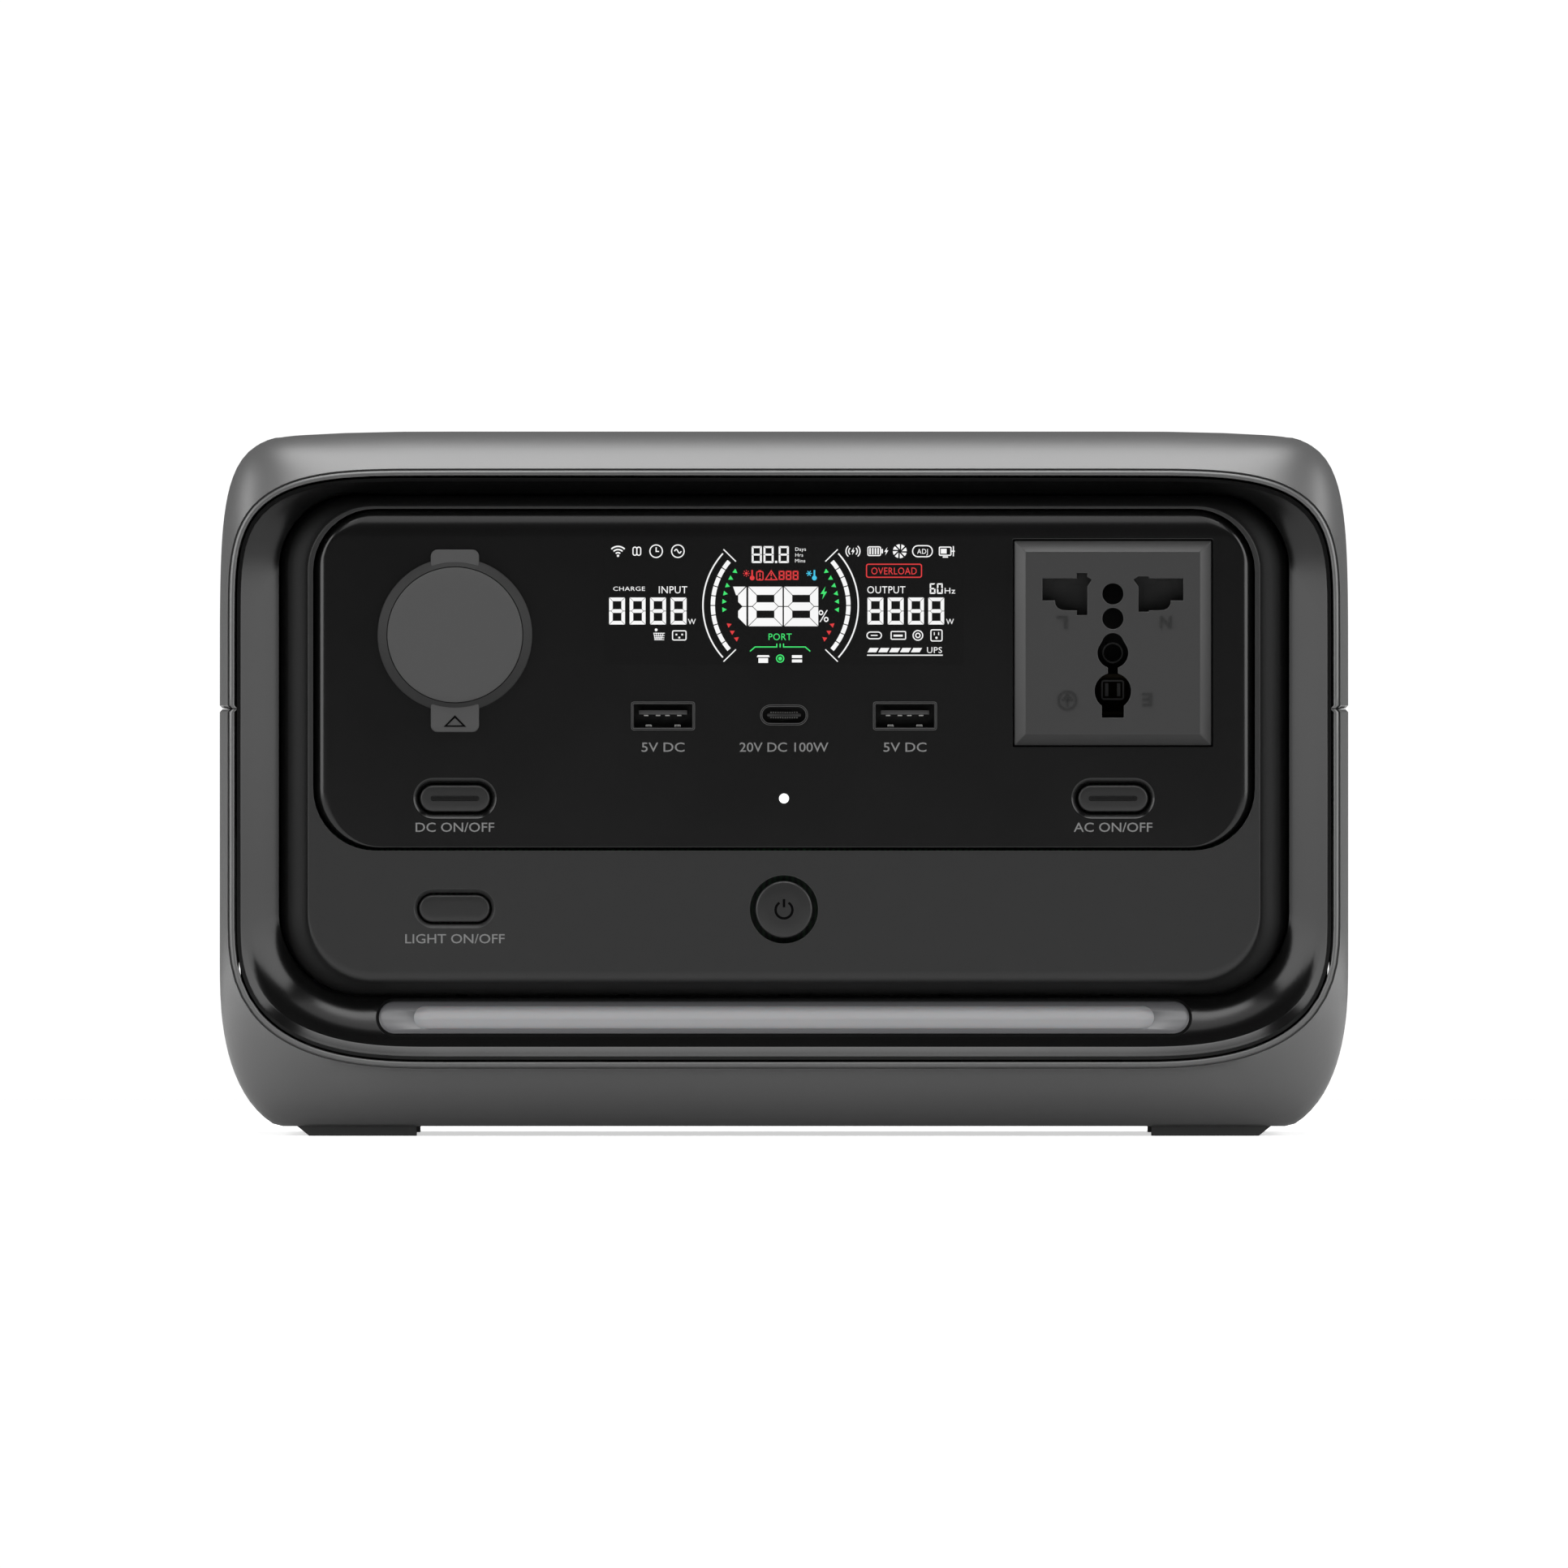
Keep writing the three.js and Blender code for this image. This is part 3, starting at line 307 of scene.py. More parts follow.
def shell_rows(stations):
    """The outer and the inner grid of one half of the shell, in rows from the lip to the back. Each row lies
    between the lip's outline and the body's."""
    lip = stations(inset(opening_curve, -1.5))
    body = stations(body_curve)
    downward = np.clip(-normals(body)[:, 1], 0, 1)[:, None]
    opening = stations(opening_curve)
    walled = stations(inset(body_curve, wall))
    # The bead is rounded over from the opening and goes down into a narrow groove on its outside.
    bead = [(0.3, 0.02), (0.1, 0.12), (0.0, 0.3), (0.03, 0.55)]
    bead += [(0.15, 0.85), (0.4, 1.05), (0.95, 1.1), (1.0, 1.35)]
    rows = [(front + dy, stations(inset(opening_curve, -out))) for dy, out in bead]
    rows.append((front + 0.45, stations(inset(opening_curve, -1.42))))
    for dy in (0.4, 0.8, 1.3, 2, 3, 4.2, 5.5, 7, 8.6, 10.4, 12.2, 14, 16):
        rows.append((front + dy, lip + (body - lip) * slope_share(dy - 0.4, 15.6, downward)))
    for y in (vent_lo.y - fit, port_lo.y - fit, port_hi.y + fit, vent_hi.y + fit, back - 6, back - 2):
        rows.append((y, body))
    for dy, d in ((1.4, 0.08), (0.7, 0.3), (0.2, 0.7), (0.0, 1.2)):
        rows.append((back - dy, stations(inset(body_curve, d))))
    outer, inner = [], []
    for y, curve in rows:
        groove = np.zeros(len(curve))
        groove[-1 if curve[-1, 1] < seam + 1 and curve[-1, 0] > 50 else 0] = 0.55
        outer.append(at_depth(curve - np.c_[groove, np.zeros(len(curve))], y))
        share = np.clip((y - front - 6) / 12, 0, 1)
        inner.append(at_depth(opening + (walled - opening) * share, max(y, front + 0.8)))
    return np.array(outer), np.array(inner)


def both_sides(grid):
    """A grid of the right side with its mirror image on the left, as one grid that runs across."""
    left = grid[:, ::-1] * (-1, 1, 1)
    if abs(grid[0, 0, 0]) < 1e-6:
        return np.concatenate([left, grid[:, 1:]], axis=1)
    return np.concatenate([grid, left[:, 1:]], axis=1)


upper_outer, upper_inner = (both_sides(grid) for grid in shell_rows(upper_stations))
kept = np.ones((upper_outer.shape[0] - 1, upper_outer.shape[1] - 1), bool)
upper_shell = walled_sheet("upper_shell_moulding", upper_outer, upper_inner, kept)

lower_outer, lower_inner = (both_sides(grid) for grid in shell_rows(lower_stations))
row_y = lower_outer[:-1, :-1, 1] + 0.01
middle = (lower_outer[:-1, :-1] + lower_outer[:-1, 1:]) / 2
in_vent = (row_y > vent_lo.y - fit) & (row_y < vent_hi.y + fit)
in_vent &= (middle[..., 2] > vent_lo.z - fit) & (middle[..., 2] < vent_hi.z + fit)
in_port = (row_y > port_lo.y - fit) & (row_y < port_hi.y + fit) & (np.abs(middle[..., 0]) < port_hi.x)
in_port &= middle[..., 2] < 10
lower_shell = walled_sheet("lower_shell_moulding", lower_outer, lower_inner, ~(in_vent | in_port))


def grained_plastic(name, colour, lighter, roughness, grain, depth, specular=0.5):
    """Moulded plastic with an even grain: noise of the grain's size, in millimetres, as bump of the given
    depth in millimetres, and a slow drift between two close colours, as moulded parts have."""
    material, shader = new_material(name)
    place = add_node(material, "TexCoord").outputs["Object"]
    fine = add_node(material, "TexNoise", {"Vector": place, "Scale": 1 / (grain * MM), "Detail": 2.0})
    slow = add_node(material, "TexNoise", {"Vector": place, "Scale": 1 / (60 * MM), "Detail": 1.0})
    mixed = add_node(material, "Mix", {
        "Factor": slow.outputs["Fac"],
        "A": linear(colour),
        "B": linear(lighter),
    }, data_type="RGBA")
    height = fine.outputs["Fac"]
    bump = add_node(material, "Bump", {"Height": height, "Distance": depth * MM, "Strength": 0.6})
    rough = add_node(material, "MapRange", {
        "Value": fine.outputs["Fac"],
        "To Min": roughness - 0.05,
        "To Max": roughness + 0.05,
    })
    set_inputs(material, shader, {
        "Base Color": mixed.outputs["Result"],
        "Normal": bump.outputs["Normal"],
        "Roughness": rough.outputs["Result"],
        "IOR": 1.52,
        "Specular IOR Level": specular,
    })
    return material


def finish_piece(piece, material, slot, *nodes, body="case"):
    """Gives a piece its material, sets it on its body and hides the solids it stands for; slot is not used.
    """
    piece.data.materials.clear()
    piece.data.materials.append(material)
    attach(piece, body)
    if nodes:
        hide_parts(*nodes)


# Grey polycarbonate blend with a fine spark-eroded grain: matt, with a soft broad highlight.
shell_name = "grey_grained_polycarbonate"
shell_plastic = grained_plastic(shell_name, "434343", "474747", 0.38, 0.45, 0.012, specular=0.8)
finish_piece(upper_shell, shell_plastic, "grey_shell_plastic", "upper_shell")
finish_piece(lower_shell, shell_plastic, "grey_shell_plastic", "lower_shell")


# ==== Bezel ====
# A frame of smooth black plastic, pushed into the opening from behind. Its narrow rim stands round the front;
# inside the rim it falls away evenly at the sides and top, and along the bottom it has a lip, a flat band and
# the slope that holds the light bar.
def ring_faces(rows, count, first=0, closed=False):
    """Quads between rows of a loop, each row count points long. A closed set also joins last to first."""
    index = first + np.arange(rows * count).reshape(rows, count)
    if closed:
        index = np.concatenate([index, index[:1]])
    after = np.roll(index, -1, axis=1)
    return np.stack([index[:-1], after[:-1], after[1:], index[1:]], -1).reshape(-1, 4).tolist()


def lofted(name, rows, closed=False, sharp=32):
    """A closed skin through loops of equally many points. If the rows don't return to the first one, each end
    is closed by a flat face."""
    rows = np.asarray(rows, float)
    faces = ring_faces(len(rows), rows.shape[1], closed=closed)
    if not closed:
        faces += [list(range(rows.shape[1])), list(range((len(rows) - 1) * rows.shape[1], rows[..., 0].size))]
    return make_piece(name, rows.reshape(-1, 3), faces, sharp)


def rounded_loop(x, z, width, height, radius, power=2.0, steps=10, low_radius=None):
    """A rectangle's front view whose corners are quarters of a superellipse of that radius and power,
    anticlockwise from the right. A radius of half the height gives a slot. The lower corners may differ."""
    t = np.linspace(0, math.pi / 2, steps + 1)
    c, s = np.cos(t) ** (2 / power), np.sin(t) ** (2 / power)
    r, q = radius, radius if low_radius is None else low_radius
    wide, tall = width / 2, height / 2
    corners = [np.c_[wide - r + c * r, tall - r + s * r]]
    corners.append(np.c_[r - wide - c[::-1] * r, tall - r + s[::-1] * r])
    corners.append(np.c_[q - wide - c * q, q - tall - s * q])
    corners.append(np.c_[wide - q + c[::-1] * q, q - tall - s[::-1] * q])
    return np.concatenate(corners) + (x, z)


def grown(loop, distance):
    """A closed front-view loop moved outwards along the direction square to its neighbours."""
    along = np.roll(loop, -1, 0) - np.roll(loop, 1, 0)
    out = np.c_[along[:, 1], -along[:, 0]] / (np.linalg.norm(along, axis=1, keepdims=True) + 1e-9)
    following = np.roll(loop, -1, 0)
    turned_left = np.sum(loop[:, 0] * following[:, 1] - following[:, 0] * loop[:, 1]) > 0
    return loop + out * (distance if turned_left else -distance)


def carved(piece, *cutters):
    """The piece with the solid shapes of the cutters taken out of it, by an exact boolean applied at once."""
    for cutter in cutters:
        cut = piece.modifiers.new("cut", "BOOLEAN")
        cut.operation, cut.solver, cut.object = "DIFFERENCE", "EXACT", cutter
    result = bpy.data.meshes.new_from_object(piece.evaluated_get(bpy.context.evaluated_depsgraph_get()))
    piece.modifiers.clear()
    piece.data = result
    piece.data.set_sharp_from_angle(angle=math.radians(32))
    for cutter in cutters:
        bpy.data.objects.remove(cutter)
    return piece


bezel_lo, bezel_hi = (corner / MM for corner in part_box("front_bezel"))
rim_depth = bezel_lo.y


def bezel_stations(curve):
    """A half outline cut at equal shares of its bottom, its corners and its side, as whole loops match."""
    run = np.r_[0, np.cumsum(np.linalg.norm(np.diff(curve, axis=0), axis=1))]
    cuts = [0, run[1], run[25], run[26], run[50], run[-1]]
    return mirrored(sample(curve, cuts, [30, 26, 14, 26, 20]))


rim_outer = bezel_stations(inset(opening_curve, 0.35))
rim_inner = bezel_stations(inset(opening_curve, 1.15))
moat_curve = outline(104.75, 133.2, 28.9, (15.5, 15.5, 2), (17.3, 17.3, 2))
moat_loop = bezel_stations(moat_curve)
outward = -(np.roll(rim_inner, -1, 0) - np.roll(rim_inner, 1, 0))[:, ::-1] * (-1, 1)
facing_down = np.clip(-outward[:, 1] / np.linalg.norm(outward, axis=1), 0, 1)
bottomness = np.clip((facing_down - 0.05) / 0.8, 0, 1)
# Shares of the way from the rim to the moat, and the fall in millimetres at the sides and along the bottom.
fall_shares = np.array([0, 0.02, 0.05, 0.14, 0.16, 0.28, 0.36, 0.5, 0.62, 0.74, 0.86, 0.95, 1.0])
side_fall = np.array([0, 0.2, 0.35, 0.8, 0.9, 1.5, 1.92, 2.65, 3.27, 3.9, 4.5, 5.0, 5.25])
bottom_fall = np.array([0, 0.25, 0.6, 1.75, 1.95, 2.05, 2.2, 2.95, 3.75, 4.7, 5.8, 6.85, 7.5])
bezel_rows = [at_depth(grown(rim_outer, 0.0), rim_depth + 0.5), at_depth(grown(rim_outer, -0.12), rim_depth)]
for share, side, low in zip(fall_shares, side_fall, bottom_fall):
    fall = side + (low - side) * bottomness
    bezel_rows.append(at_depth(rim_inner + (moat_loop - rim_inner) * share, rim_depth + fall))
bezel_rows.append(at_depth(grown(moat_loop, -0.2), rim_depth + 8.2))
bezel_rows.append(at_depth(grown(moat_loop, 1.0), bezel_hi.y))
bezel_rows.append(at_depth(rim_outer, bezel_hi.y))
bezel = lofted("front_bezel_moulding", bezel_rows, closed=True, sharp=25)

light_z, light_width, light_height = 24.6, 168.0, 6.7
slot_gap = 1.2
slot_tall = light_height + slot_gap
slot_loop = rounded_loop(0, light_z, light_width + slot_gap, slot_tall, slot_tall / 2)
slot_rows = [at_depth(slot_loop, rim_depth - 5), at_depth(slot_loop, -106.5)]
carved(bezel, lofted("slot_cutter", slot_rows))


def smooth_plastic(name, colour, lighter, roughness, ripple=0.006, specular=0.5):
    """Polished or satin moulded plastic: nearly mirror smooth, with a faint orange-peel ripple of 4 mm, a
    slow drift between two close colours, and fine wiping marks in the roughness."""
    material, shader = new_material(name)
    place = add_node(material, "TexCoord").outputs["Object"]
    slow = add_node(material, "TexNoise", {"Vector": place, "Scale": 1 / (4 * MM), "Detail": 1.0})
    marks = add_node(material, "TexNoise", {"Vector": place, "Scale": 1 / (25 * MM), "Detail": 5.0})
    mixed = add_node(material, "Mix", {
        "Factor": marks.outputs["Fac"],
        "A": linear(colour),
        "B": linear(lighter),
    }, data_type="RGBA")
    height = slow.outputs["Fac"]
    bump = add_node(material, "Bump", {"Height": height, "Distance": ripple * MM, "Strength": 0.5})
    rough = add_node(material, "MapRange", {
        "Value": marks.outputs["Fac"],
        "To Min": roughness * 0.85,
        "To Max": roughness * 1.15,
    })
    set_inputs(material, shader, {
        "Base Color": mixed.outputs["Result"],
        "Normal": bump.outputs["Normal"],
        "Roughness": rough.outputs["Result"],
        "IOR": 1.52,
        "Specular IOR Level": specular,
    })
    return material


# Black ABS from a polished tool, semi-gloss: broad soft reflections that end sharply at its creases.
bezel_plastic = smooth_plastic("satin_black_moulded_abs", "050505", "070707", 0.2, specular=0.32)
finish_piece(bezel, bezel_plastic, "black_inner_plastic", "front_bezel")


def printed_ink(name, colour, lighter, roughness=0.5, specular=0.5):
    """A thin matt layer, such as printed ink, whose density varies a little at half a millimetre."""
    material, shader = new_material(name)
    place = add_node(material, "TexCoord").outputs["Object"]
    speck = add_node(material, "TexNoise", {"Vector": place, "Scale": 1 / (0.5 * MM), "Detail": 2.0})
    mixed = add_node(material, "Mix", {
        "Factor": speck.outputs["Fac"],
        "A": linear(colour),
        "B": linear(lighter),
    }, data_type="RGBA")
    set_inputs(material, shader, {
        "Base Color": mixed.outputs["Result"],
        "Roughness": roughness,
        "Specular IOR Level": specular,
    })
    return material


# ==== Light bar ====
# A milky acrylic diffuser with rounded ends, in a slot of the bezel's lower slope, with a clear gap round it.
# Its middle field is a little raised and starts short of the ends. The lamp is off.
def bezel_depth(z):
    """The depth of the bezel's lower slope at a height, from the same falls as the bezel's own rows."""
    low, high = rim_inner[:, 1].min(), 28.9
    return rim_depth + np.interp((z - low) / (high - low), fall_shares, bottom_fall)


def bar_row(shrink, proud, end_shrink=None):
    """The bar's outline drawn in by shrink, more at its ends if asked, and proud of the slope there."""
    ends = shrink if end_shrink is None else end_shrink
    height = light_height - 2 * shrink
    loop = rounded_loop(0, light_z, light_width - 2 * ends, height, height / 2, steps=16)
    return np.stack([loop[:, 0], bezel_depth(loop[:, 1]) - proud, loop[:, 1]], -1)


edge_rows = [at_depth(bar_row(0.0, 0)[:, [0, 2]], -104.3), bar_row(0.0, -0.35), bar_row(0.08, -0.05)]
edge_rows += [bar_row(0.3, 0.08), bar_row(0.8, 0.1), bar_row(0.95, 0.1, 7.2), bar_row(1.4, -1.2, 9.0)]
bar_edge = lofted("light_bar_edge", edge_rows, sharp=40)
# The middle field row by row: how far it is drawn in, how proud it stands, and how far its ends are
# drawn in.
field_steps = [(0.97, -1.0, 7.3), (0.97, 0.08, 7.3), (1.05, 0.26, 8.2), (1.25, 0.33, 9.0)]
field_steps += [(1.6, 0.35, 9.6), (2.2, 0.36, 10.2), (2.8, 0.37, 10.8), (3.1, 0.38, 11.1)]
field_rows = [bar_row(*step) for step in field_steps]
light_bar = lofted("light_bar_lens", field_rows, sharp=40)
# A black matt ring sits just below the surface in the gap round the bar. It is painted shade that makes the
# gap read black.
gap_shade_rows = [bar_row(-0.62, -0.7), bar_row(0.0, -0.7), bar_row(0.0, -1.6), bar_row(-0.62, -1.6)]
gap_shade_ring = lofted("light_bar_gap_painted_shade", gap_shade_rows, closed=True)
gap_shade_black = printed_ink("black_painted_gap_shade", "020202", "040404", 0.95)
finish_piece(gap_shade_ring, gap_shade_black, "black_inner_plastic")
# Milky PMMA: light scatters in it, so it is pale grey when the lamp behind it is off, under a soft gloss. Its
# edge is thinner and shows the black behind it.
milky = smooth_plastic("milky_acrylic_diffuser", "78787a", "7e7e80", 0.3)
milky_edge = smooth_plastic("thin_milky_acrylic_edge", "4e4e50", "545456", 0.3)
finish_piece(bar_edge, milky_edge, "milky_light_plastic")
milky_shader = milky.node_tree.nodes["Principled BSDF"]
milky_shader.inputs["Subsurface Weight"].default_value = 0.25
milky_shader.inputs["Subsurface Scale"].default_value = 1.5 * MM
finish_piece(light_bar, milky, "milky_light_plastic", "light_bar_diffuser")


# ==== Fascia ====
# The front panel, moulded in black plastic with a fine grain. Its edge rolls back through a deep round moat
# to the bezel. A pocket holds the gloss panel, and the power and light buttons have holes of their own.
def in_loop(points, loop):
    """Which points lie in a closed loop: those whose ray to the right crosses it an odd number of times."""
    a, b = loop, np.roll(loop, -1, 0)
    x, z = points[:, 0, None], points[:, 1, None]
    crosses = (a[:, 1] > z) != (b[:, 1] > z)
    slope = (b[:, 0] - a[:, 0]) / np.where(b[:, 1] == a[:, 1], 1, b[:, 1] - a[:, 1])
    return (crosses & (x < a[:, 0] + (z - a[:, 1]) * slope)).sum(1) % 2 == 1


def face_with_holes(loop, holes):
    """Triangles that fill the front view of a loop but not of its holes. A corner is given as one running
    number over the points of the loop and then of each hole in turn."""
    loops = [loop, *holes]
    points = np.concatenate(loops)
    edges, start = [], 0
    for part in loops:
        edges += [(start + i, start + (i + 1) % len(part)) for i in range(len(part))]
        start += len(part)
    flat = [mathutils.Vector(p) for p in points]
    found, _, triangles, origins, _, _ = mathutils.geometry.delaunay_2d_cdt(flat, edges, [], 1, 1e-6)
    if not all(origins):
        raise ValueError("two of these outlines cross")
    source = np.array([o[0] for o in origins])
    triangles = np.array(triangles)
    middles = np.array(found)[triangles].mean(1)
    wanted = in_loop(middles, loop)
    for hole in holes:
        wanted &= ~in_loop(middles, hole)
    return source[triangles[wanted]]


def holed_plate(name, rows, holes=(), sharp=32):
    """A plate with a flat front and back. The rows run from its front edge round to its back edge, and each
    hole has rows of its own from front to back. A narrow flat margin keeps the front's shading even."""
    margin = 0.06
    sets = [[at_depth(grown(rows[0][:, [0, 2]], -margin), rows[0][:, 1]), *rows]]
    sets += [[at_depth(grown(hole[0][:, [0, 2]], margin), hole[0][:, 1]), *hole] for hole in holes]
    points, faces, first = [], [], 0
    ends = ([], [])
    for part in sets:
        block = np.array(part)
        faces += ring_faces(len(block), block.shape[1], first)
        ends[0].append((first, block[0]))
        ends[1].append((first + (len(block) - 1) * block.shape[1], block[-1]))
        points.append(block.reshape(-1, 3))
        first += block[..., 0].size
    for end in ends:
        numbers = np.concatenate([np.arange(start, start + len(loop)) for start, loop in end])
        fronts = [loop[:, [0, 2]] for _, loop in end]
        faces += numbers[face_with_holes(fronts[0], fronts[1:])].tolist()
    return make_piece(name, np.concatenate(points), faces, sharp)


def hole_rows(loop, profile):
    """Rows of a hole: for each (grow, depth) the loop grown by that much at that depth."""
    return [at_depth(grown(loop, out), depth) for out, depth in profile]


panel_face = -112.8
fascia_back = panel_face + 3
gloss_x, gloss_z, gloss_width, gloss_height, gloss_corner = 0, 94.62, 195.2, 70.85, 12.9
light_place, light_size, light_mouth = (-68.3, 47.2), (14.8, 5.75), (16.9, 8.25)
power_place, power_radius, power_hole = (0, 47), 5.95, 7.05


def plateau_curve(inside, roll=5):
    """The half outline of the raised middle of the fascia, that much inside the ridge at its edge, and roll
    times as much along the bottom, where the edge is rolled more softly."""
    half, top, bottom, corner = 98.9 - inside, 130.8 - inside, 32.1 + inside * roll, 13.5 - inside * 0.5
    return outline(half, top, bottom, (corner, corner, 2), (corner, corner, 2))


ridge_curve = plateau_curve(0)
moat_edge = outline(104.35, 132.8, 29.3, (15.2, 15.2, 2), (17, 17, 2))
fascia_rows = []
# From the plateau over the ridge, then down the moat's round flank to the bezel's edge.
for inside, dy in ((0.42, 0.0), (0.34, 0.02), (0.25, 0.08), (0.16, 0.2), (0.07, 0.42), (0.0, 0.8)):
    fascia_rows.append(at_depth(bezel_stations(plateau_curve(inside)), panel_face + dy))
for share, dy in ((0.1, 1.5), (0.22, 2.15), (0.36, 2.8), (0.52, 3.5), (0.7, 4.4), (0.86, 5.4), (1, 6.8)):
    half_loop = ridge_curve + (moat_edge - ridge_curve) * share
    fascia_rows.append(at_depth(bezel_stations(half_loop), panel_face + dy))
fascia_rows.append(at_depth(bezel_stations(moat_edge), panel_face + 8.5))
fascia_rows.append(at_depth(bezel_stations(plateau_curve(0.42, 1)), panel_face + 8.5))
fascia_rows.append(at_depth(bezel_stations(plateau_curve(0.42, 1)), fascia_back))
pocket = rounded_loop(gloss_x, gloss_z, gloss_width, gloss_height, gloss_corner)
button_gap = 0.3


def funnel(place, mouth, size, deep):
    """The rows of a button's well: a rounded brow, a sloping wall, and a straight bore round the button."""
    (x, z), (wide, tall), (cap_wide, cap_tall) = place, mouth, size
    bore_wide, bore_tall = cap_wide + 2 * button_gap, cap_tall + 2 * button_gap
    rows = []
    wall_steps = ((0, 0), (0.08, 0.03), (0.22, 0.16), (0.85, deep * 0.88), (0.96, deep), (1, deep + 0.15))
    for share, dy in wall_steps:
        w, h = wide + (bore_wide - wide) * share, tall + (bore_tall - tall) * share
        rows.append(at_depth(rounded_loop(x, z, w, h, h / 2), panel_face + dy))
    rows.append(at_depth(rounded_loop(x, z, bore_wide, bore_tall, bore_tall / 2), fascia_back))
    return rows


edge_break = ((0.12, panel_face), (0.04, panel_face + 0.04), (0.0, panel_face + 0.15), (0.0, fascia_back))
power_loop = rounded_loop(*power_place, power_hole * 2, power_hole * 2, power_hole, steps=16)
fascia_holes = [hole_rows(pocket, edge_break), funnel(light_place, light_mouth, light_size, 0.9)]
fascia_holes.append(hole_rows(power_loop, edge_break))
fascia = holed_plate("fascia_moulding", fascia_rows, fascia_holes, sharp=30)
# Black ABS from a tool with a fine spark-eroded grain: dark grey, matt, soft highlights on its round edges.
fascia_plastic = grained_plastic("black_grained_abs", "0d0d0d", "0f0f0f", 0.5, 0.4, 0.012)
finish_piece(fascia, fascia_plastic, "black_grained_plastic", "fascia_panel")


# ==== Gloss panel ====
# A lens of glossy black acrylic laid into the fascia's pocket, with rolled edges: narrow at the sides and
# bottom, and along the top a long soft roll back. It has openings for the socket, the ports and the buttons.
socket_place, socket_hole = (-68.2, 103.9), 12.9
outlet_place, outlet_size = (68.15, 102.2), (40.8, 42.4)
button_size, button_mouth = (14.6, 5.6), (17.3, 8.46)
dc_place, ac_place = (-68.2, 70.0), (68.2, 70.0)
wide_ports, wide_port_size = ((-25.07, 87.1), (25.07, 87.1)), (13.3, 6.0)
oval_port, oval_port_size = (0, 87.3), (10.0, 4.37)
status_place, status_radius = (0, 70), 1.05
gloss_back = panel_face + 2.0


def gloss_loop(share):
    """The lens's outline drawn in by a share of the roll: 2.9 mm at its sides, 5.5 mm at its top and 0.35 mm
    along its bottom, with the radii that its upper and lower corners then have."""
    side, top, low = 2.9 * share, 5.5 * share, 0.35 * share
    width, height = gloss_width - 0.8 - 2 * side, gloss_height - 0.8 - top - low
    radius, low_radius = 12.4 - 9.4 * share, 12.4 - 1.4 * share
    return rounded_loop(gloss_x, gloss_z + (low - top) / 2, width, height, radius, 2.0, 14, low_radius)


gloss_rows = []
for share in (1.0, 0.9, 0.8, 0.69, 0.57, 0.45, 0.34, 0.24, 0.15, 0.07, 0.02, 0.0):
    # The fall from the flat front grows with the power 2.3 of how far the edge has been rolled.
    fall = 1.7 * (1 - share) ** 2.3 if share else 1.78
    gloss_rows.append(at_depth(gloss_loop(share), panel_face + fall))
gloss_rows.append(at_depth(gloss_loop(0), panel_face + 2.0))
lens_break = ((0.1, panel_face), (0.03, panel_face + 0.03), (0.0, panel_face + 0.12), (0.0, gloss_back))
# The openings are 0.7 mm larger than the outlet's face, and 0.4 mm smaller than the ports' sleeves.
outlet_opening = [side + 0.7 for side in outlet_size]
wide_port_hole = [side - 0.4 for side in wide_port_size]
oval_port_hole = [side - 0.4 for side in oval_port_size]
openings = [rounded_loop(*socket_place, 2 * socket_hole, 2 * socket_hole, socket_hole, steps=20)]
openings.append(rounded_loop(*outlet_place, *outlet_opening, 0.35))
openings += [rounded_loop(*place, *wide_port_hole, 0.5) for place in wide_ports]
openings.append(rounded_loop(*oval_port, *oval_port_hole, oval_port_size[1] / 2 - 0.2))
openings.append(rounded_loop(*status_place, 2 * status_radius, 2 * status_radius, status_radius))
gloss_holes = [hole_rows(loop, lens_break) for loop in openings]
for place in (dc_place, ac_place):
    well = funnel(place, button_mouth, button_size, 1.0)
    gloss_holes.append([*well[:-1], at_depth(well[-1][:, [0, 2]], gloss_back)])
gloss_panel = holed_plate("gloss_panel_lens", gloss_rows, gloss_holes, sharp=30)
# Polished black PMMA, hard coated: deep black under a clear, slightly soft reflection.
lens_name = "gloss_black_hard_coated_acrylic"
lens_acrylic = smooth_plastic(lens_name, "070707", "080808", 0.2, ripple=0.002, specular=0.4)
finish_piece(gloss_panel, lens_acrylic, "black_gloss_plastic", "gloss_panel")


# ==== Push buttons ====
# Four moulded caps that stand in their wells with a thin gap: a round one for power, and slots for the light,
# the DC and the AC outputs. The DC and AC caps have a narrow light guide set into them.
def button_cap(body, place, width, height, face):
    """A cap as rows of its own outline: a nearly flat face, a rounded edge and a straight skirt."""
    small = min(width, height) / 2
    rows = [(small * 0.96, 0), (small * 0.8, 0), (small * 0.5, 0.01), (0.55, 0.04), (0.3, 0.12)]
    rows += [(0.12, 0.28), (0.03, 0.5), (0.0, 0.7), (0.0, 3.4)]
    loops = []
    for inside, dy in rows:
        w, h = width - 2 * inside, height - 2 * inside
        loops.append(at_depth(rounded_loop(*place, w, h, h / 2, steps=16), face + dy))
    cap = lofted(f"{body}_cap", loops, sharp=40)
    finish_piece(cap, button_plastic, "black_grained_plastic", body, body=body)


# The caps' ABS has the fascia's grain, but finer, so that they look a little smoother to the finger.
button_plastic = grained_plastic("black_fine_grained_abs", "0e0e0e", "101010", 0.45, 0.3, 0.006)
power_face, flat_face = panel_face - 0.2, panel_face + 0.3
button_cap("power_button", power_place, 2 * power_radius, 2 * power_radius, power_face)
button_cap("light_button", light_place, *light_size, flat_face)
button_cap("dc_button", dc_place, *button_size, flat_face)
button_cap("ac_button", ac_place, *button_size, flat_face)


# ==== Marks moulded or printed on the front ====
# The button symbols, the printed labels and the screen's segments are thin raised films. Each is made from
# flat outlines in the front view and stands a few hundredths of a millimetre proud.
def patch(*corners):
    """A filled outline as (points, faces)."""
    return np.array(corners, float), [list(range(len(corners)))]


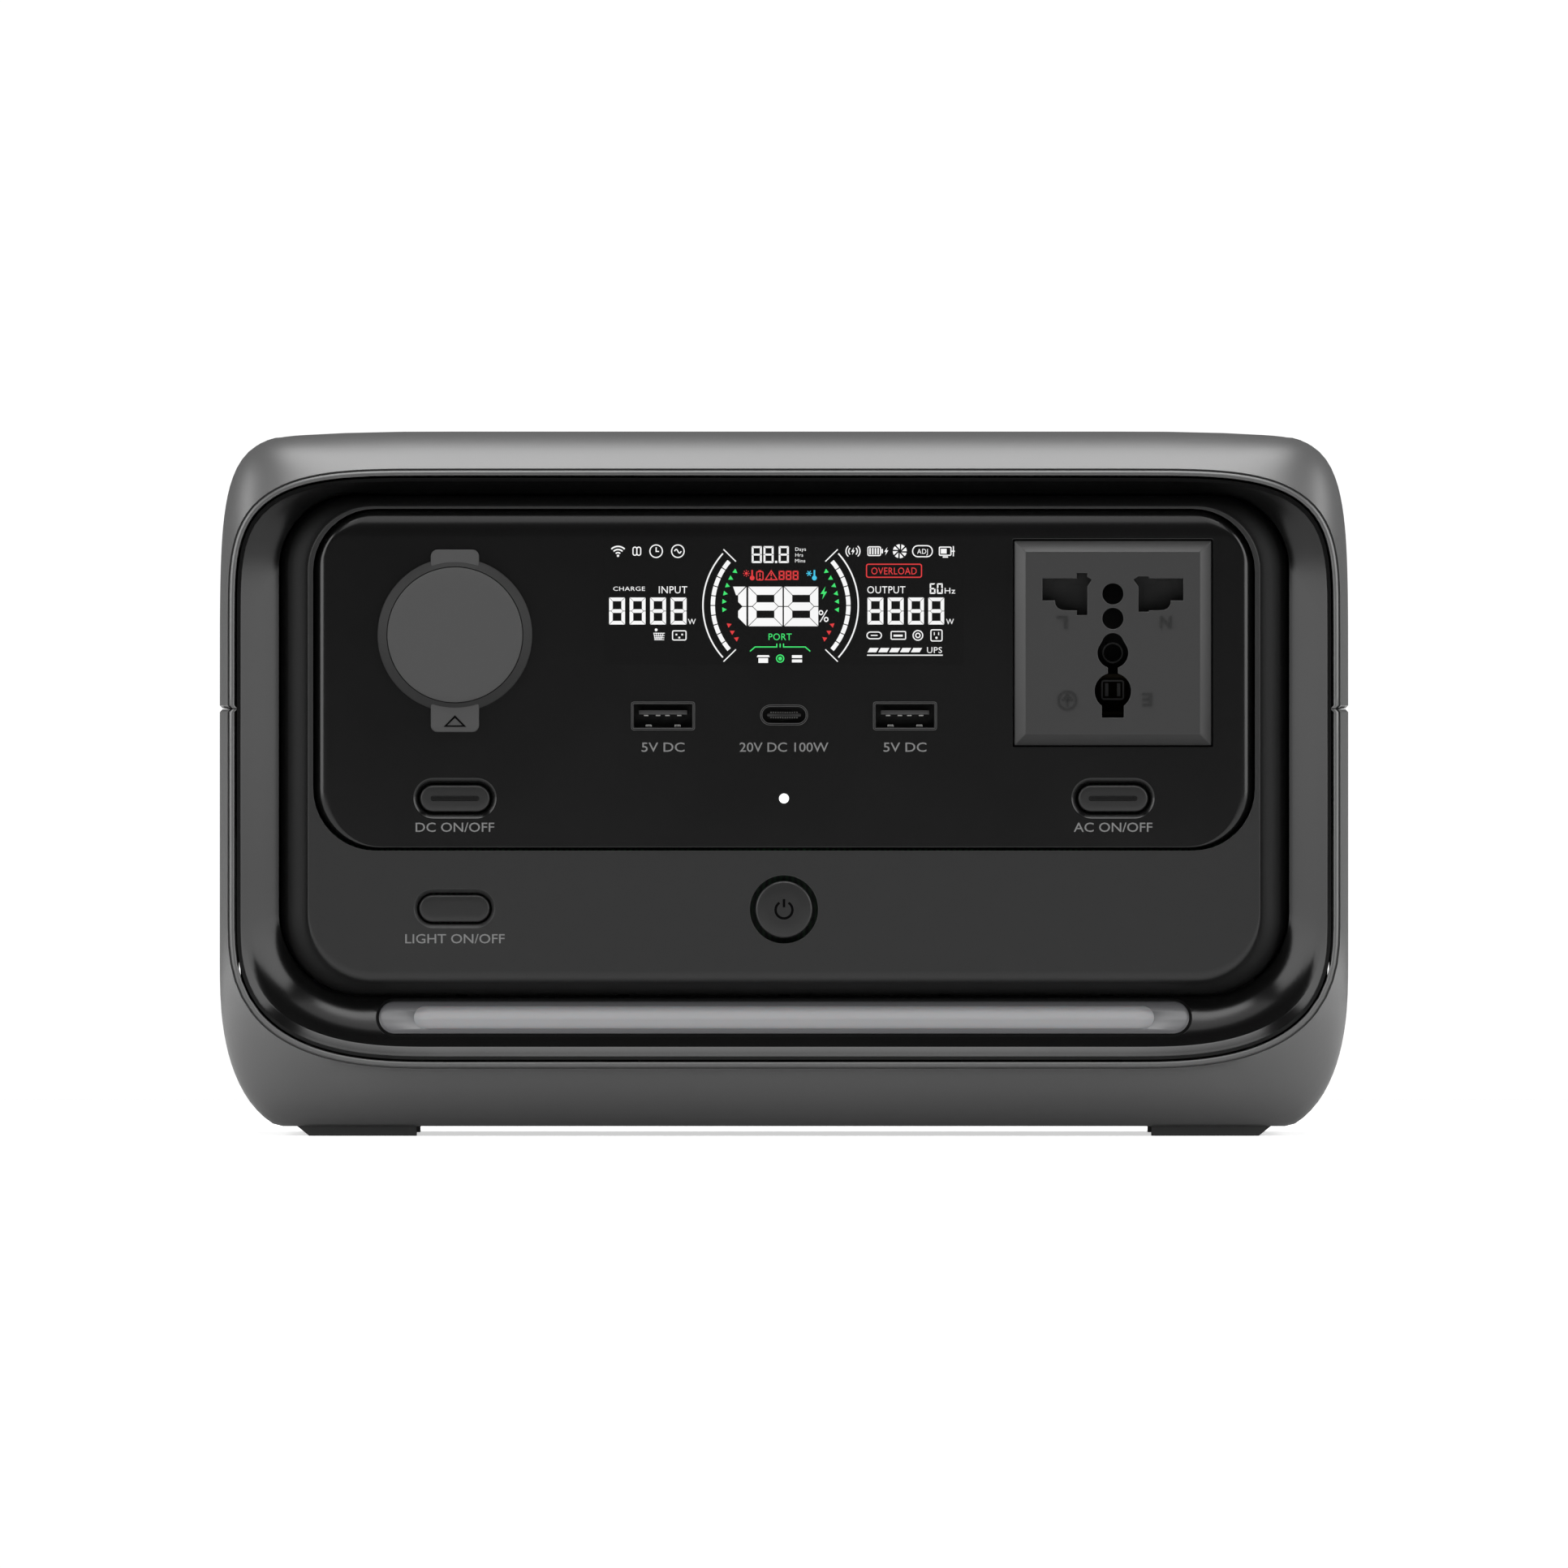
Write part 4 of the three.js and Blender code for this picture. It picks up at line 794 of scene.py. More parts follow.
def stroke(line, width, closed=False):
    """A band of even width along a line as (points, faces). At a bend its two edges meet on the line that
    halves the angle, which stretches them by one over the cosine of half the turn. A point that repeats the
    one before it is left out, because it has no direction."""
    line = np.array(line, float)
    step = np.linalg.norm(line - np.roll(line, 1, 0), axis=1)
    if not closed:
        step[0] = 1  # an open line keeps its first point
    line = line[step > 1e-6]
    before = np.roll(line, 1, 0) if closed else np.concatenate([[2 * line[0] - line[1]], line[:-1]])
    after = np.roll(line, -1, 0) if closed else np.concatenate([line[1:], [2 * line[-1] - line[-2]]])
    into = (line - before) / np.linalg.norm(line - before, axis=1, keepdims=True)
    out = (after - line) / np.linalg.norm(after - line, axis=1, keepdims=True)
    middle = into + out
    middle /= np.linalg.norm(middle, axis=1, keepdims=True)
    reach = width / 2 / np.clip((middle * into).sum(1, keepdims=True), 0.5, 1)
    side = np.c_[middle[:, 1], -middle[:, 0]] * reach
    count = len(line)
    i = np.arange(count if closed else count - 1)
    j = (i + 1) % count
    return np.concatenate([line + side, line - side]), np.stack([i, j, j + count, i + count], -1).tolist()


def arc(x, z, radius, start, end, steps=24):
    """Points on a circle from one angle in degrees to another, measured anticlockwise from the right."""
    t = np.radians(np.linspace(start, end, steps + 1))
    return np.c_[x + radius * np.cos(t), z + radius * np.sin(t)]


def ring(x, z, radius, width, steps=32):
    """A thin ring round a point."""
    return stroke(arc(x, z, radius, 0, 360, steps)[:-1], width, closed=True)


def disc(x, z, radius, steps=24):
    """A filled circle."""
    return patch(*arc(x, z, radius, 0, 360, steps)[:-1])


def lettering(words, x, z, height, width=None, spacing=1.0, turned=False, bold=0.004):
    """Words in Blender's own plain face as (points, faces), centred on x and z. The height is that of a
    capital, and the width, if given, that of the whole line."""
    curve = bpy.data.curves.new("words", "FONT")
    curve.body, curve.size, curve.space_character = words, 1, spacing
    curve.resolution_u, curve.offset = 3, bold
    holder = bpy.data.objects.new("words", curve)
    bpy.context.collection.objects.link(holder)
    mesh = bpy.data.meshes.new_from_object(holder.evaluated_get(bpy.context.evaluated_depsgraph_get()))
    bpy.data.objects.remove(holder)
    flat = np.empty(len(mesh.vertices) * 3)
    mesh.vertices.foreach_get("co", flat)
    points = flat.reshape(-1, 3)[:, :2]
    capital = 0.729  # of the face's size
    points = points * height / capital
    low, high = points.min(0), points.max(0)
    across = width / (high[0] - low[0]) if width else 1.0
    points = (points - ((low[0] + high[0]) / 2, height / 2)) * (across, 1)
    if turned:
        points = -points
    faces = [list(polygon.vertices) for polygon in mesh.polygons]
    bpy.data.meshes.remove(mesh)
    return points + (x, z), faces


def film(name, shapes, face, proud, sharp=20):
    """One piece from many flat shapes: a front at face - proud, a back at face, and walls round every edge
    that belongs to one face only."""
    points, faces, first = [], [], 0
    for flat, corners in shapes:
        points.append(flat)
        faces += [[first + c for c in corner] for corner in corners]
        first += len(flat)
    flat = np.concatenate(points)
    ordered = []
    for corners in faces:
        loop = flat[corners]
        after = np.roll(loop, -1, 0)
        turned_left = (loop[:, 0] * after[:, 1] - after[:, 0] * loop[:, 1]).sum() > 0
        ordered.append(corners if turned_left else corners[::-1])
    count = len(flat)
    edges = {(a, b) for corners in ordered for a, b in zip(corners, corners[1:] + corners[:1])}
    walls = [[a, b, b + count, a + count][::-1] for a, b in edges if (b, a) not in edges]
    back = [[c + count for c in corners[::-1]] for corners in ordered]
    both = np.concatenate([at_depth(flat, face - proud), at_depth(flat, face)])
    return make_piece(name, both, ordered + back + sorted(walls), sharp, closed=False)


label_height = 2.0
labels = [
    ("DC ON/OFF", -68.2, 64.1, 16.3),
    ("AC ON/OFF", 68.2, 64.1, 16.3),
    ("LIGHT ON/OFF", -68.2, 41.0, 20.6),
    ("5V DC", -25.07, 80.7, 8.9),
    ("20V DC 100W", 0, 80.7, 18.4),
    ("5V DC", 25.07, 80.7, 8.9),
]
label_shapes = [lettering(words, x, z, label_height, wide) for words, x, z, wide in labels]
label_film = film("printed_labels", label_shapes, panel_face + 0.01, 0.03)
# Grey pad printing, a little lighter than the panels, matt.
label_ink = printed_ink("grey_pad_printed_ink", "6c6c6c", "747474")
finish_piece(label_film, label_ink, "label_ink")

# The power symbol is engraved and filled: a broken ring with an upright bar in its gap.
x, z = power_place
broken_ring, upright_bar = arc(x, z - 0.1, 1.75, 122, 418, 32), [(x, z + 0.45), (x, z + 2.15)]
power_shapes = [stroke(broken_ring, 0.5), stroke(upright_bar, 0.5)]
power_symbol = film("power_symbol", power_shapes, power_face + 0.005, 0.02)
dark_ink = printed_ink("black_filled_engraving", "020202", "040404", 0.9, specular=0.05)
finish_piece(power_symbol, dark_ink, "label_ink", body="power_button")

# The DC and AC caps' light guides are narrow dark slots with a smoked lens flush in them.
for name, (x, z) in (("dc_button", dc_place), ("ac_button", ac_place)):
    rim_line = stroke(rounded_loop(x, z, 9.95, 0.94, 0.47), 0.12, closed=True)
    slot_rim = film(name + "_guide_edge", [rim_line], flat_face + 0.005, 0.02)
    finish_piece(slot_rim, dark_ink, "label_ink", body=name)
    loop = rounded_loop(x, z, 9.7, 0.7, 0.35)
    guide = lofted(name + "_light_guide", [at_depth(loop, flat_face - d) for d in (-0.3, 0.012)])
    finish_piece(guide, lens_acrylic, "black_gloss_plastic", body=name)

# The status lamp's light pipe shows as a small white dot, flush with the lens.
pipe_loop = rounded_loop(*status_place, *[status_radius * 2 - 0.06] * 2, status_radius - 0.03)
pipe_end = ((0.5, -0.01), (0.2, 0.0), (0.02, 0.1))
pipe_rows = [at_depth(grown(pipe_loop, -inside), panel_face + dy) for inside, dy in pipe_end]
status_pipe = lofted("status_light_pipe_end", [*pipe_rows, at_depth(pipe_loop, -98.6)])
lamp_white = printed_ink("milky_polycarbonate_light_pipe", "f4f4f4", "fafafa", 0.3)
lamp_shader = lamp_white.node_tree.nodes["Principled BSDF"]
lamp_shader.inputs["Emission Color"].default_value = (1, 1, 1, 1)
lamp_shader.inputs["Emission Strength"].default_value = 0.75
lamp_white.cycles.emission_sampling = "NONE"
finish_piece(status_pipe, lamp_white, "milky_light_plastic", "status_light_pipe")


# ==== Ports ====
# Two wide ports and one small oval port. Each is a folded steel sleeve in a black moulded mouth, with a
# tongue inside that carries the contacts, and the wide ones have two springs in their lower wall.
def port_sleeve(name, place, size, opening, corner, mouth_corner, back, nodes):
    """The sleeve as rows of rounded rectangles: its outer skin, a rolled front edge and its inner wall."""
    rows = []
    steps = ((0.0, back), (0.0, panel_face + 0.1), (0.05, panel_face - 0.1), (0.18, panel_face - 0.2))
    for inside, y in steps:
        w, h = size[0] - 2 * inside, size[1] - 2 * inside
        rows.append(at_depth(rounded_loop(*place, w, h, max(corner - inside, 0.2)), y))
    for grow, y in ((0.12, panel_face - 0.2), (0.03, panel_face - 0.1), (0, panel_face + 0.1), (0, back)):
        w, h = opening[0] + 2 * grow, opening[1] + 2 * grow
        rows.append(at_depth(rounded_loop(*place, w, h, mouth_corner + grow), y))
    sleeve = lofted(name, rows, closed=True)
    finish_piece(sleeve, port_black, "plated_steel", *nodes)


def tongue(name, place, size, corner, face, back, material, slot, nodes=()):
    """A small bar with rounded front edges that stands out from the back of a port."""
    rows = [(0.12, face), (0.03, face + 0.05), (0, face + 0.15), (0, back)]
    loops = []
    for inside, y in rows:
        w, h = size[0] - 2 * inside, size[1] - 2 * inside
        loops.append(at_depth(rounded_loop(*place, w, h, max(corner - inside, 0.02)), y))
    piece = lofted(name, loops)
    finish_piece(piece, material, slot, *nodes)


def dull_metal(name, colour, lighter, roughness, scratch=0.3):
    """Plated or bare metal: full metallic, with stamping scratches of that width in its roughness."""
    material, shader = new_material(name)
    place = add_node(material, "TexCoord").outputs["Object"]
    drawn = add_node(material, "Mapping", {"Vector": place, "Scale": (1, 8, 1)})
    lines = add_node(material, "TexNoise", {"Vector": drawn.outputs["Vector"], "Scale": 1 / (scratch * MM)})
    mixed = add_node(material, "Mix", {
        "Factor": lines.outputs["Fac"],
        "A": linear(colour),
        "B": linear(lighter),
    }, data_type="RGBA")
    rough = add_node(material, "MapRange", {
        "Value": lines.outputs["Fac"],
        "To Min": roughness - 0.08,
        "To Max": roughness + 0.08,
    })
    set_inputs(material, shader, {
        "Base Color": mixed.outputs["Result"],
        "Roughness": rough.outputs["Result"],
        "Metallic": 1.0,
    })
    return material


# Blackened nickel plate on folded steel, satin; plain nickel on the springs; gold flash on the contacts.
port_black = dull_metal("black_nickel_plated_steel", "262626", "303030", 0.35)
steel = dull_metal("nickel_plated_steel", "8e8e8c", "a2a2a0", 0.3)
brass = dull_metal("gold_flashed_brass", "a08a4c", "b49c58", 0.3)
tongue_plastic = smooth_plastic("dark_grey_nylon", "2c2c2c", "303030", 0.45)
mouth_plastic = smooth_plastic("black_nylon", "0b0b0b", "0e0e0e", 0.5)
port_back, wide_opening, oval_opening = -98.6, (12.0, 4.7), (8.9, 3.15)
contact_size, spring_size, wide_tongue_size = (0.93, 0.3), (1.25, 0.5), (10.1, 0.9)
black, plated = "black_inner_plastic", "plated_steel"
for side, (x, z) in zip(("left", "right"), wide_ports):
    port = f"wide_port_{side}"
    nodes = [f"wide_port_sleeve_{side}"]
    port_sleeve(f"{port}_sleeve", (x, z), wide_port_size, wide_opening, 0.6, 0.3, port_back, nodes)
    nodes = [f"wide_port_tongue_{side}"]
    tongue(f"{port}_tongue", (x, z + 0.75), wide_tongue_size, 0.15, -112.0, -99, tongue_plastic, black, nodes)
    for number, dx in enumerate((-3.5, -1.06, 0.9, 3.35)):
        place = (x + dx, z + 0.12)
        tongue(f"{port}_contact_{number}", place, contact_size, 0.05, -111.9, -100, steel, plated)
    for number, dx in enumerate((-3.0, 3.0)):
        place = (x + dx, z - 2.05)
        tongue(f"{port}_spring_{number}", place, spring_size, 0.1, -111.8, -104, steel, plated)
    back_loop = rounded_loop(x, z, *wide_opening, 0.3)
    floor_rows = [at_depth(back_loop, -104.0), at_depth(back_loop, -99.0)]
    finish_piece(lofted(f"{port}_floor", floor_rows), mouth_plastic, black)
# Two thin lighter lines round each mouth are a painted highlight, standing for the light that the sleeves'
# front edges catch.
rim_highlight_paint = smooth_plastic("painted_highlight_nickel_edge", "4c4c4c", "565656", 0.35)
mouths = [(place, wide_port_size, 0.6) for place in wide_ports] + [(oval_port, oval_port_size, 2.18)]
for number, (place, size, corner) in enumerate(mouths):
    edges = [rounded_loop(*place, size[0] - 2 * i, size[1] - 2 * i, corner - i) for i in (0.1, 0.42)]
    lines = [stroke(loop, 0.1, closed=True) for loop in edges]
    rims = film(f"port_edge_highlights_{number}", lines, panel_face - 0.19, 0.03)
    finish_piece(rims, rim_highlight_paint, "plated_steel")
x, z = oval_port
nodes = ["oval_port_sleeve"]
port_sleeve("oval_port_shell", oval_port, oval_port_size, oval_opening, 2.18, 1.57, -102, nodes)
nodes = ["oval_port_tongue"]
tongue("oval_port_blade", oval_port, (7.1, 0.7), 0.3, -112.0, -102.5, tongue_plastic, black, nodes)
pads = [disc(x - 2.7 + 0.49 * i, z + dz, 0.12, 8) for i in range(12) for dz in (-0.55, 0.55)]
finish_piece(film("oval_port_contacts", pads, -111.9, 3.0), steel, "plated_steel")
back_loop = rounded_loop(x, z, *oval_opening, 1.57)
floor_rows = [at_depth(back_loop, -107.5), at_depth(back_loop, -102.2)]
finish_piece(lofted("oval_port_floor", floor_rows), mouth_plastic, "black_inner_plastic")


# ==== Mains outlet ====
# A universal outlet: a square moulded face with bevelled edges and openings that take several kinds of plug,
# over a housing with the contacts and a sliding shutter. Its marks are raised on the face.
outlet_x, outlet_z = outlet_place


def outlet_points(points):
    """Front-view points given from the outlet's middle, at their place on the front."""
    return np.array(points, float) + (outlet_x, outlet_z)


# Each blade slot has a round-cornered outer step, the same on both sides, and a stepped inner end of its own.
outer_step = [(9.5, 6.8), (10.6, 6.9), (11.4, 7.3), (11.9, 8.0), (12.0, 8.84), (14.6, 8.84)]
live_slot = [(-x, z) for x, z in outer_step[::-1]]
live_slot += [(-7.45, 6.8), (-7.45, 5.8), (-5.3, 5.8), (-5.3, 11.7), (-4.4, 13.15), (-5.3, 13.7)]
live_slot += [(-5.3, 14.5), (-7.45, 14.5), (-7.45, 13.4), (-14.6, 13.4)]
neutral_slot = [(14.6, 13.4), (7.45, 13.4), (7.45, 13.8), (5.3, 13.8), (4.3, 13.15), (5.3, 11.7)]
neutral_slot += [(5.3, 6.5), (7.45, 6.5), (7.45, 6.8), *outer_step]
upper_hole, lower_hole = arc(0, 10.2, 2.19, 0, 360, 32)[:-1], arc(0, 5.1, 2.19, 0, 360, 32)[:-1]
# The earth opening: a keyhole of two circles, one with a small cap, joined by a neck, and a slot below.
cap_side = [(math.cos(t) * 2.27, -0.2 + math.sin(t) * 2.27) for t in np.radians(np.linspace(20, 160, 15))]
upper_left = arc(0, -2.05, 3.18, 160, 251, 12)
lower_left = arc(0, -9.95, 3.78, 106, 233, 16)
slot_foot = [(-2.27, -15.45), (2.27, -15.45)]
lower_right = arc(0, -9.95, 3.78, -53, 74, 16)
upper_right = arc(0, -2.05, 3.18, -71, 20, 12)
earth_slot = np.concatenate([cap_side, upper_left, lower_left, slot_foot, lower_right, upper_right])
outlet_face_y, outlet_back = -114.8, -109.2
face_rows = []
for inside, y in ((2.45, 0), (2.3, 0.02), (2.2, 0.1), (0.12, 2.02), (0.0, 2.2), (0.0, 5.6)):
    w, h = outlet_size[0] - 2 * inside, outlet_size[1] - 2 * inside
    face_rows.append(at_depth(rounded_loop(outlet_x, outlet_z, w, h, 0.25, steps=3), outlet_face_y + y))
slot_edges = ((0.12, outlet_face_y), (0.04, outlet_face_y + 0.04))
slot_edges += ((0, outlet_face_y + 0.15), (0, outlet_back))
slots = (live_slot, neutral_slot, upper_hole, lower_hole, earth_slot)
face_holes = [hole_rows(outlet_points(loop), slot_edges) for loop in slots]
outlet_front = holed_plate("outlet_front_face", face_rows, face_holes, sharp=25)
# Dark grey glass-filled nylon: matt, with a faint mottling.
outlet_plastic = grained_plastic("dark_grey_glass_filled_nylon", "262626", "282828", 0.5, 0.6, 0.004)
finish_piece(outlet_front, outlet_plastic, "dark_grey_outlet_plastic", "outlet_face")
# The bevelled border is polished in the tool, and its colour is painted darker than the grained face inside
# it, as painted shade on its sloping sides.
border_painted_shade = smooth_plastic("polished_nylon_painted_shade", "151515", "171717", 0.42)
outlet_front.data.materials.append(border_painted_shade)
centres = np.empty(len(outlet_front.data.polygons) * 3)
outlet_front.data.polygons.foreach_get("center", centres)
away = np.abs(centres.reshape(-1, 3)[:, [0, 2]] / MM - outlet_place) - (np.array(outlet_size) / 2 - 2.3)
outlet_front.data.polygons.foreach_set("material_index", (away.max(1) > 0).astype(np.int32))

# The marks: the letters of line, neutral and earth, and the earth symbol, all standing upside down.
mark_shapes = [lettering("L", outlet_x - 10.5, outlet_z + 4.2, 2.67, 2.1, turned=True)]
mark_shapes.append(lettering("N", outlet_x + 11.0, outlet_z + 4.2, 2.67, 2.3, turned=True))
mark_shapes.append(lettering("E", outlet_x + 7.1, outlet_z - 11.8, 2.75, 2.0, turned=True))
earth_x, earth_z = outlet_x - 9.4, outlet_z - 11.9
mark_shapes.append(ring(earth_x, earth_z, 1.85, 0.3))
mark_shapes.append(stroke([(earth_x, earth_z - 1.3), (earth_x, earth_z + 0.1)], 0.26))
for half_bar, dz in ((1.15, 0.1), (0.75, 0.6), (0.35, 1.1)):
    mark_shapes.append(stroke([(earth_x - half_bar, earth_z + dz), (earth_x + half_bar, earth_z + dz)], 0.24))
outlet_marks = film("outlet_raised_marks", mark_shapes, outlet_face_y + 0.01, 0.2)
mark_plastic = grained_plastic("burnished_dark_nylon", "181818", "1b1b1b", 0.4, 0.6, 0.002)
finish_piece(outlet_marks, mark_plastic, "dark_grey_outlet_plastic")
# The shutter behind the two blade slots has raised frames round its ramps, which move with it. The earth
# opening shows two upright contact leaves and the ring of the round one.
def frame_round(x, z, w, h):
    """A thin rectangular frame in the outlet's own front view."""
    return stroke(rounded_loop(outlet_x + x, outlet_z + z, w, h, 0.4, steps=3), 0.35, closed=True)


shutter_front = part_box("outlet_shutter")[0].y / MM
shutter_shapes = [frame_round(side * 10.6, 11.1, 3.0, 3.4) for side in (-1, 1)]
shutter_shapes += [frame_round(side * 7.6, 9.6, 2.2, 4.6) for side in (-1, 1)]
shutter_frames = film("outlet_shutter_frames", shutter_shapes, shutter_front + 0.02, 0.25)
finish_piece(shutter_frames, mouth_plastic, "black_inner_plastic", body="outlet_shutter")
leaf_x = (outlet_x - 1.25, outlet_x + 1.25)
leaf_shapes = [stroke([(x, outlet_z - 11), (x, outlet_z - 8.3)], 0.7) for x in leaf_x]
leaf_shapes += [frame_round(0, -9.7, 4.4, 3.8), ring(outlet_x, outlet_z - 2.0, 2.0, 0.35)]
leaves = film("outlet_earth_leaves", leaf_shapes, -106.2, 1.0)
finish_piece(leaves, mouth_plastic, "black_inner_plastic")


# ==== Socket cap ====
# A dust cap of soft dark grey elastomer over the round DC socket. Its edge is bevelled, a tab above is its
# hinge strap, and the tab below, marked with a triangle, lifts it. A ring on its back plugs the socket.
cap_x, cap_z = socket_place
cap_radius, cap_bevel = 16.05, 1.95
tab_low, tab_high, tab_wide = 83.75, 121.6, 10


def cap_ring(radius, y):
    """A circle of the cap."""
    return at_depth(arc(cap_x, cap_z, radius, 0, 360, 96)[:-1], y)


face_radius = cap_radius - cap_bevel
rim_profile = ((face_radius - 2, -114.9), (face_radius - 0.1, -114.9))
rim_profile += ((face_radius, -115.0), (face_radius + 0.1, -115.12), (15.6, -114.3), (15.93, -114.1))
rim_profile += ((cap_radius, -113.9), (cap_radius, -113.25), (15.93, -113.1), (10.5, -113.1))
rim_profile += ((9.3, -113.0), (9.3, -108.2), (8.9, -107.8), (7.7, -107.8), (7.3, -108.2), (7.3, -112.6))
cap_rim = lofted("socket_cap_rim", [cap_ring(radius, y) for radius, y in rim_profile], sharp=25)
face_profile = ((12.5, -115.3), (13.6, -115.28), (13.9, -115.2), (14.0, -115.05), (14.0, -114.7))
cap_disc = lofted("socket_cap_disc", [cap_ring(radius, y) for radius, y in face_profile], sharp=40)
tab_rows = []
for inside, y in ((0.5, -114.6), (0.2, -114.55), (0.05, -114.4), (0, -114.2), (0, -113.25), (0.1, -113.1)):
    wide, tall = tab_wide - 2 * inside, tab_high - tab_low - 2 * inside
    loop = rounded_loop(cap_x, (tab_low + tab_high) / 2, wide, tall, 1.45 - inside)
    tab_rows.append(at_depth(loop, y))
cap_tabs = lofted("socket_cap_tabs", tab_rows)
triangle = [(cap_x - 1.97, 85.0), (cap_x + 1.97, 85.0), (cap_x, 86.97)]
tab_mark = film("socket_cap_triangle", [stroke(triangle, 0.38, closed=True)], -114.58, 0.1)
# Thermoplastic elastomer: dark grey, very matt. The rim with its bevel is painted a much darker grey than the
# face, as painted shade on the sloping bevel.
cap_rubber = grained_plastic("dark_grey_elastomer", "404040", "434343", 0.75, 0.25, 0.003, specular=0.3)
rim_painted_shade_rubber = grained_plastic("grey_elastomer_painted_shade", "1a1a1a", "1c1c1c", 0.6, 0.25, 0.003, specular=0.3)
finish_piece(cap_disc, cap_rubber, "dark_rubber", "car_socket_cap", body="car_socket_cap")
finish_piece(cap_rim, rim_painted_shade_rubber, "dark_rubber", body="car_socket_cap")
finish_piece(cap_tabs, cap_rubber, "dark_rubber", body="car_socket_cap")
finish_piece(tab_mark, dark_ink, "dark_rubber", body="car_socket_cap")


# ==== Screen ====
# A segment display behind the lens, with everything on it lit: the two power readings, the charge in the
# middle inside its dials, times, warnings and symbols. The segments glow white, green, red and blue.
# Everything on it is laid out in millimetres right of and above the middle of the two dials.
dial_middle = np.array((-0.7, 110.0))
thin_line, line = 0.15, 0.23


def mark(*corners):
    """A filled outline."""
    return patch(*(np.array(corners, float) + dial_middle))


def trace(points, width=line, closed=False):
    """A line of even width."""
    return stroke(np.array(points, float) + dial_middle, width, closed)


def block(left, right, low, high):
    """A filled rectangle."""
    return mark((left, low), (right, low), (right, high), (left, high))


def dot(x, z, radius):
    """A filled round spot."""
    return mark(*arc(x, z, radius, 0, 360, 14)[:-1])


def hoop(x, z, radius, width=line):
    """A ring."""
    return trace(arc(x, z, radius, 0, 360, 28)[:-1], width, closed=True)


def frame_line(x, z, w, h, corner, width=line):
    """A rounded rectangle drawn as a line, centred on x, z."""
    return trace(rounded_loop(x, z, w, h, corner, steps=4), width, closed=True)


def digit(left, low, wide, tall, bar, lit="abcdefg"):
    """A seven-segment figure: bars as wide as asked, mitred at the corners, with small gaps between them.
    Each bar is drawn once and turned over about the figure's middle for its opposite."""
    x, z, a, b, h = left + wide / 2, low + tall / 2, wide / 2, tall / 2, bar / 2
    gap = 0.04 + bar * 0.03
    level = [(gap - a, b), (a - gap, b), (a - bar - gap, b - bar), (bar + gap - a, b - bar)]
    half = [(h + gap - a, 0), (bar + gap - a, h), (a - bar - gap, h), (a - h - gap, 0)]
    across = half + [(a - bar - gap, -h), (bar + gap - a, -h)]
    upright = [(-a, b - gap), (bar - a, b - bar - gap), (bar - a, h + gap), (h - a, gap), (-a, gap)]
    drawn = {"a": (level, 1, 1), "d": (level, 1, -1), "g": (across, 1, 1), "f": (upright, 1, 1)}
    drawn.update({"e": (upright, 1, -1), "b": (upright, -1, 1), "c": (upright, -1, -1)})
    return [mark(*[(x + p * drawn[k][1], z + q * drawn[k][2]) for p, q in drawn[k][0]]) for k in lit]


def figures(left, low, wide, tall, bar, pitch, count):
    """A row of like figures, all their segments lit."""
    return [shape for i in range(count) for shape in digit(left + i * pitch, low, wide, tall, bar)]


white, green, red, blue = [], [], [], []
white += figures(-35.55, -3.95, 3.3, 5.6, 0.75, 4.25, 4)
white += figures(18.0, -3.95, 3.3, 5.6, 0.75, 4.2, 4)
# The charge: two full figures and, before them, a one with its flag.
white += figures(-6.7, -4.3, 7.1, 8.2, 1.7, 7.4, 2)
white += digit(-12.8, -4.3, 5.7, 8.2, 1.7, "bc")
white.append(mark((-9.85, 3.9), (-7.3, 3.9), (-8.85, 2.3), (-8.85, 2.15), (-9.25, 2.15)))
# The time left, with its point; the mains frequency; the fault number.
white += figures(-6.0, 8.8, 2.1, 3.5, 0.4, 2.45, 2) + digit(-0.4, 8.8, 2.1, 3.5, 0.4)
white.append(block(-1.15, -0.7, 8.8, 9.25))
white += digit(30.9, 2.4, 1.2, 2.2, 0.3, "acdefg") + digit(32.4, 2.4, 1.2, 2.2, 0.3, "abcdef")
red += figures(-0.4, 5.3, 1.2, 1.9, 0.3, 1.45, 3)


def words_on_screen(words, x, z, height, width):
    """Plain capitals centred on x, z."""
    return lettering(words, x + dial_middle[0], z + dial_middle[1], height, width, spacing=1.06, bold=0)


for words, x, z, height, width in (
    ("INPUT", -22.3, 3.3, 1.55, 5.9),
    ("OUTPUT", 21.9, 3.3, 1.55, 7.9),
    ("W", -18.4, -3.3, 1.2, 1.6),
    ("W", 35.1, -3.3, 1.2, 1.6),
    ("%", 8.9, -2.1, 2.6, 2.1),
    ("Hz", 35.1, 3.1, 1.25, 2.2),
    ("Days", 4.15, 11.7, 0.75, 2.2),
    ("Hrs", 3.85, 10.5, 0.75, 1.6),
    ("Mins", 4.05, 9.3, 0.75, 2.1),
    ("UPS", 31.9, -9.2, 1.3, 3.1),
    ("ADJ", 29.4, 11.25, 1.1, 2.2),
    ("CHARGE", -31.4, 3.5, 0.9, 6.6),
):
    white.append(words_on_screen(words, x, z, height, width))
green.append(words_on_screen("PORT", -0.1, -6.45, 1.45, 4.8))
red.append(words_on_screen("OVERLOAD", 23.5, 7.2, 1.5, 9.4))
red.append(frame_line(23.5, 7.2, 11.4, 2.7, 0.4))


def bolt(x, z, size):
    """A lightning flash."""
    shape = ((0.25, 1), (-0.5, -0.15), (-0.05, -0.15), (-0.25, -1), (0.5, 0.2), (0.05, 0.2))
    return mark(*[(x + a * size, z + b * size) for a, b in shape])


green.append(bolt(8.95, 2.6, 1.35))
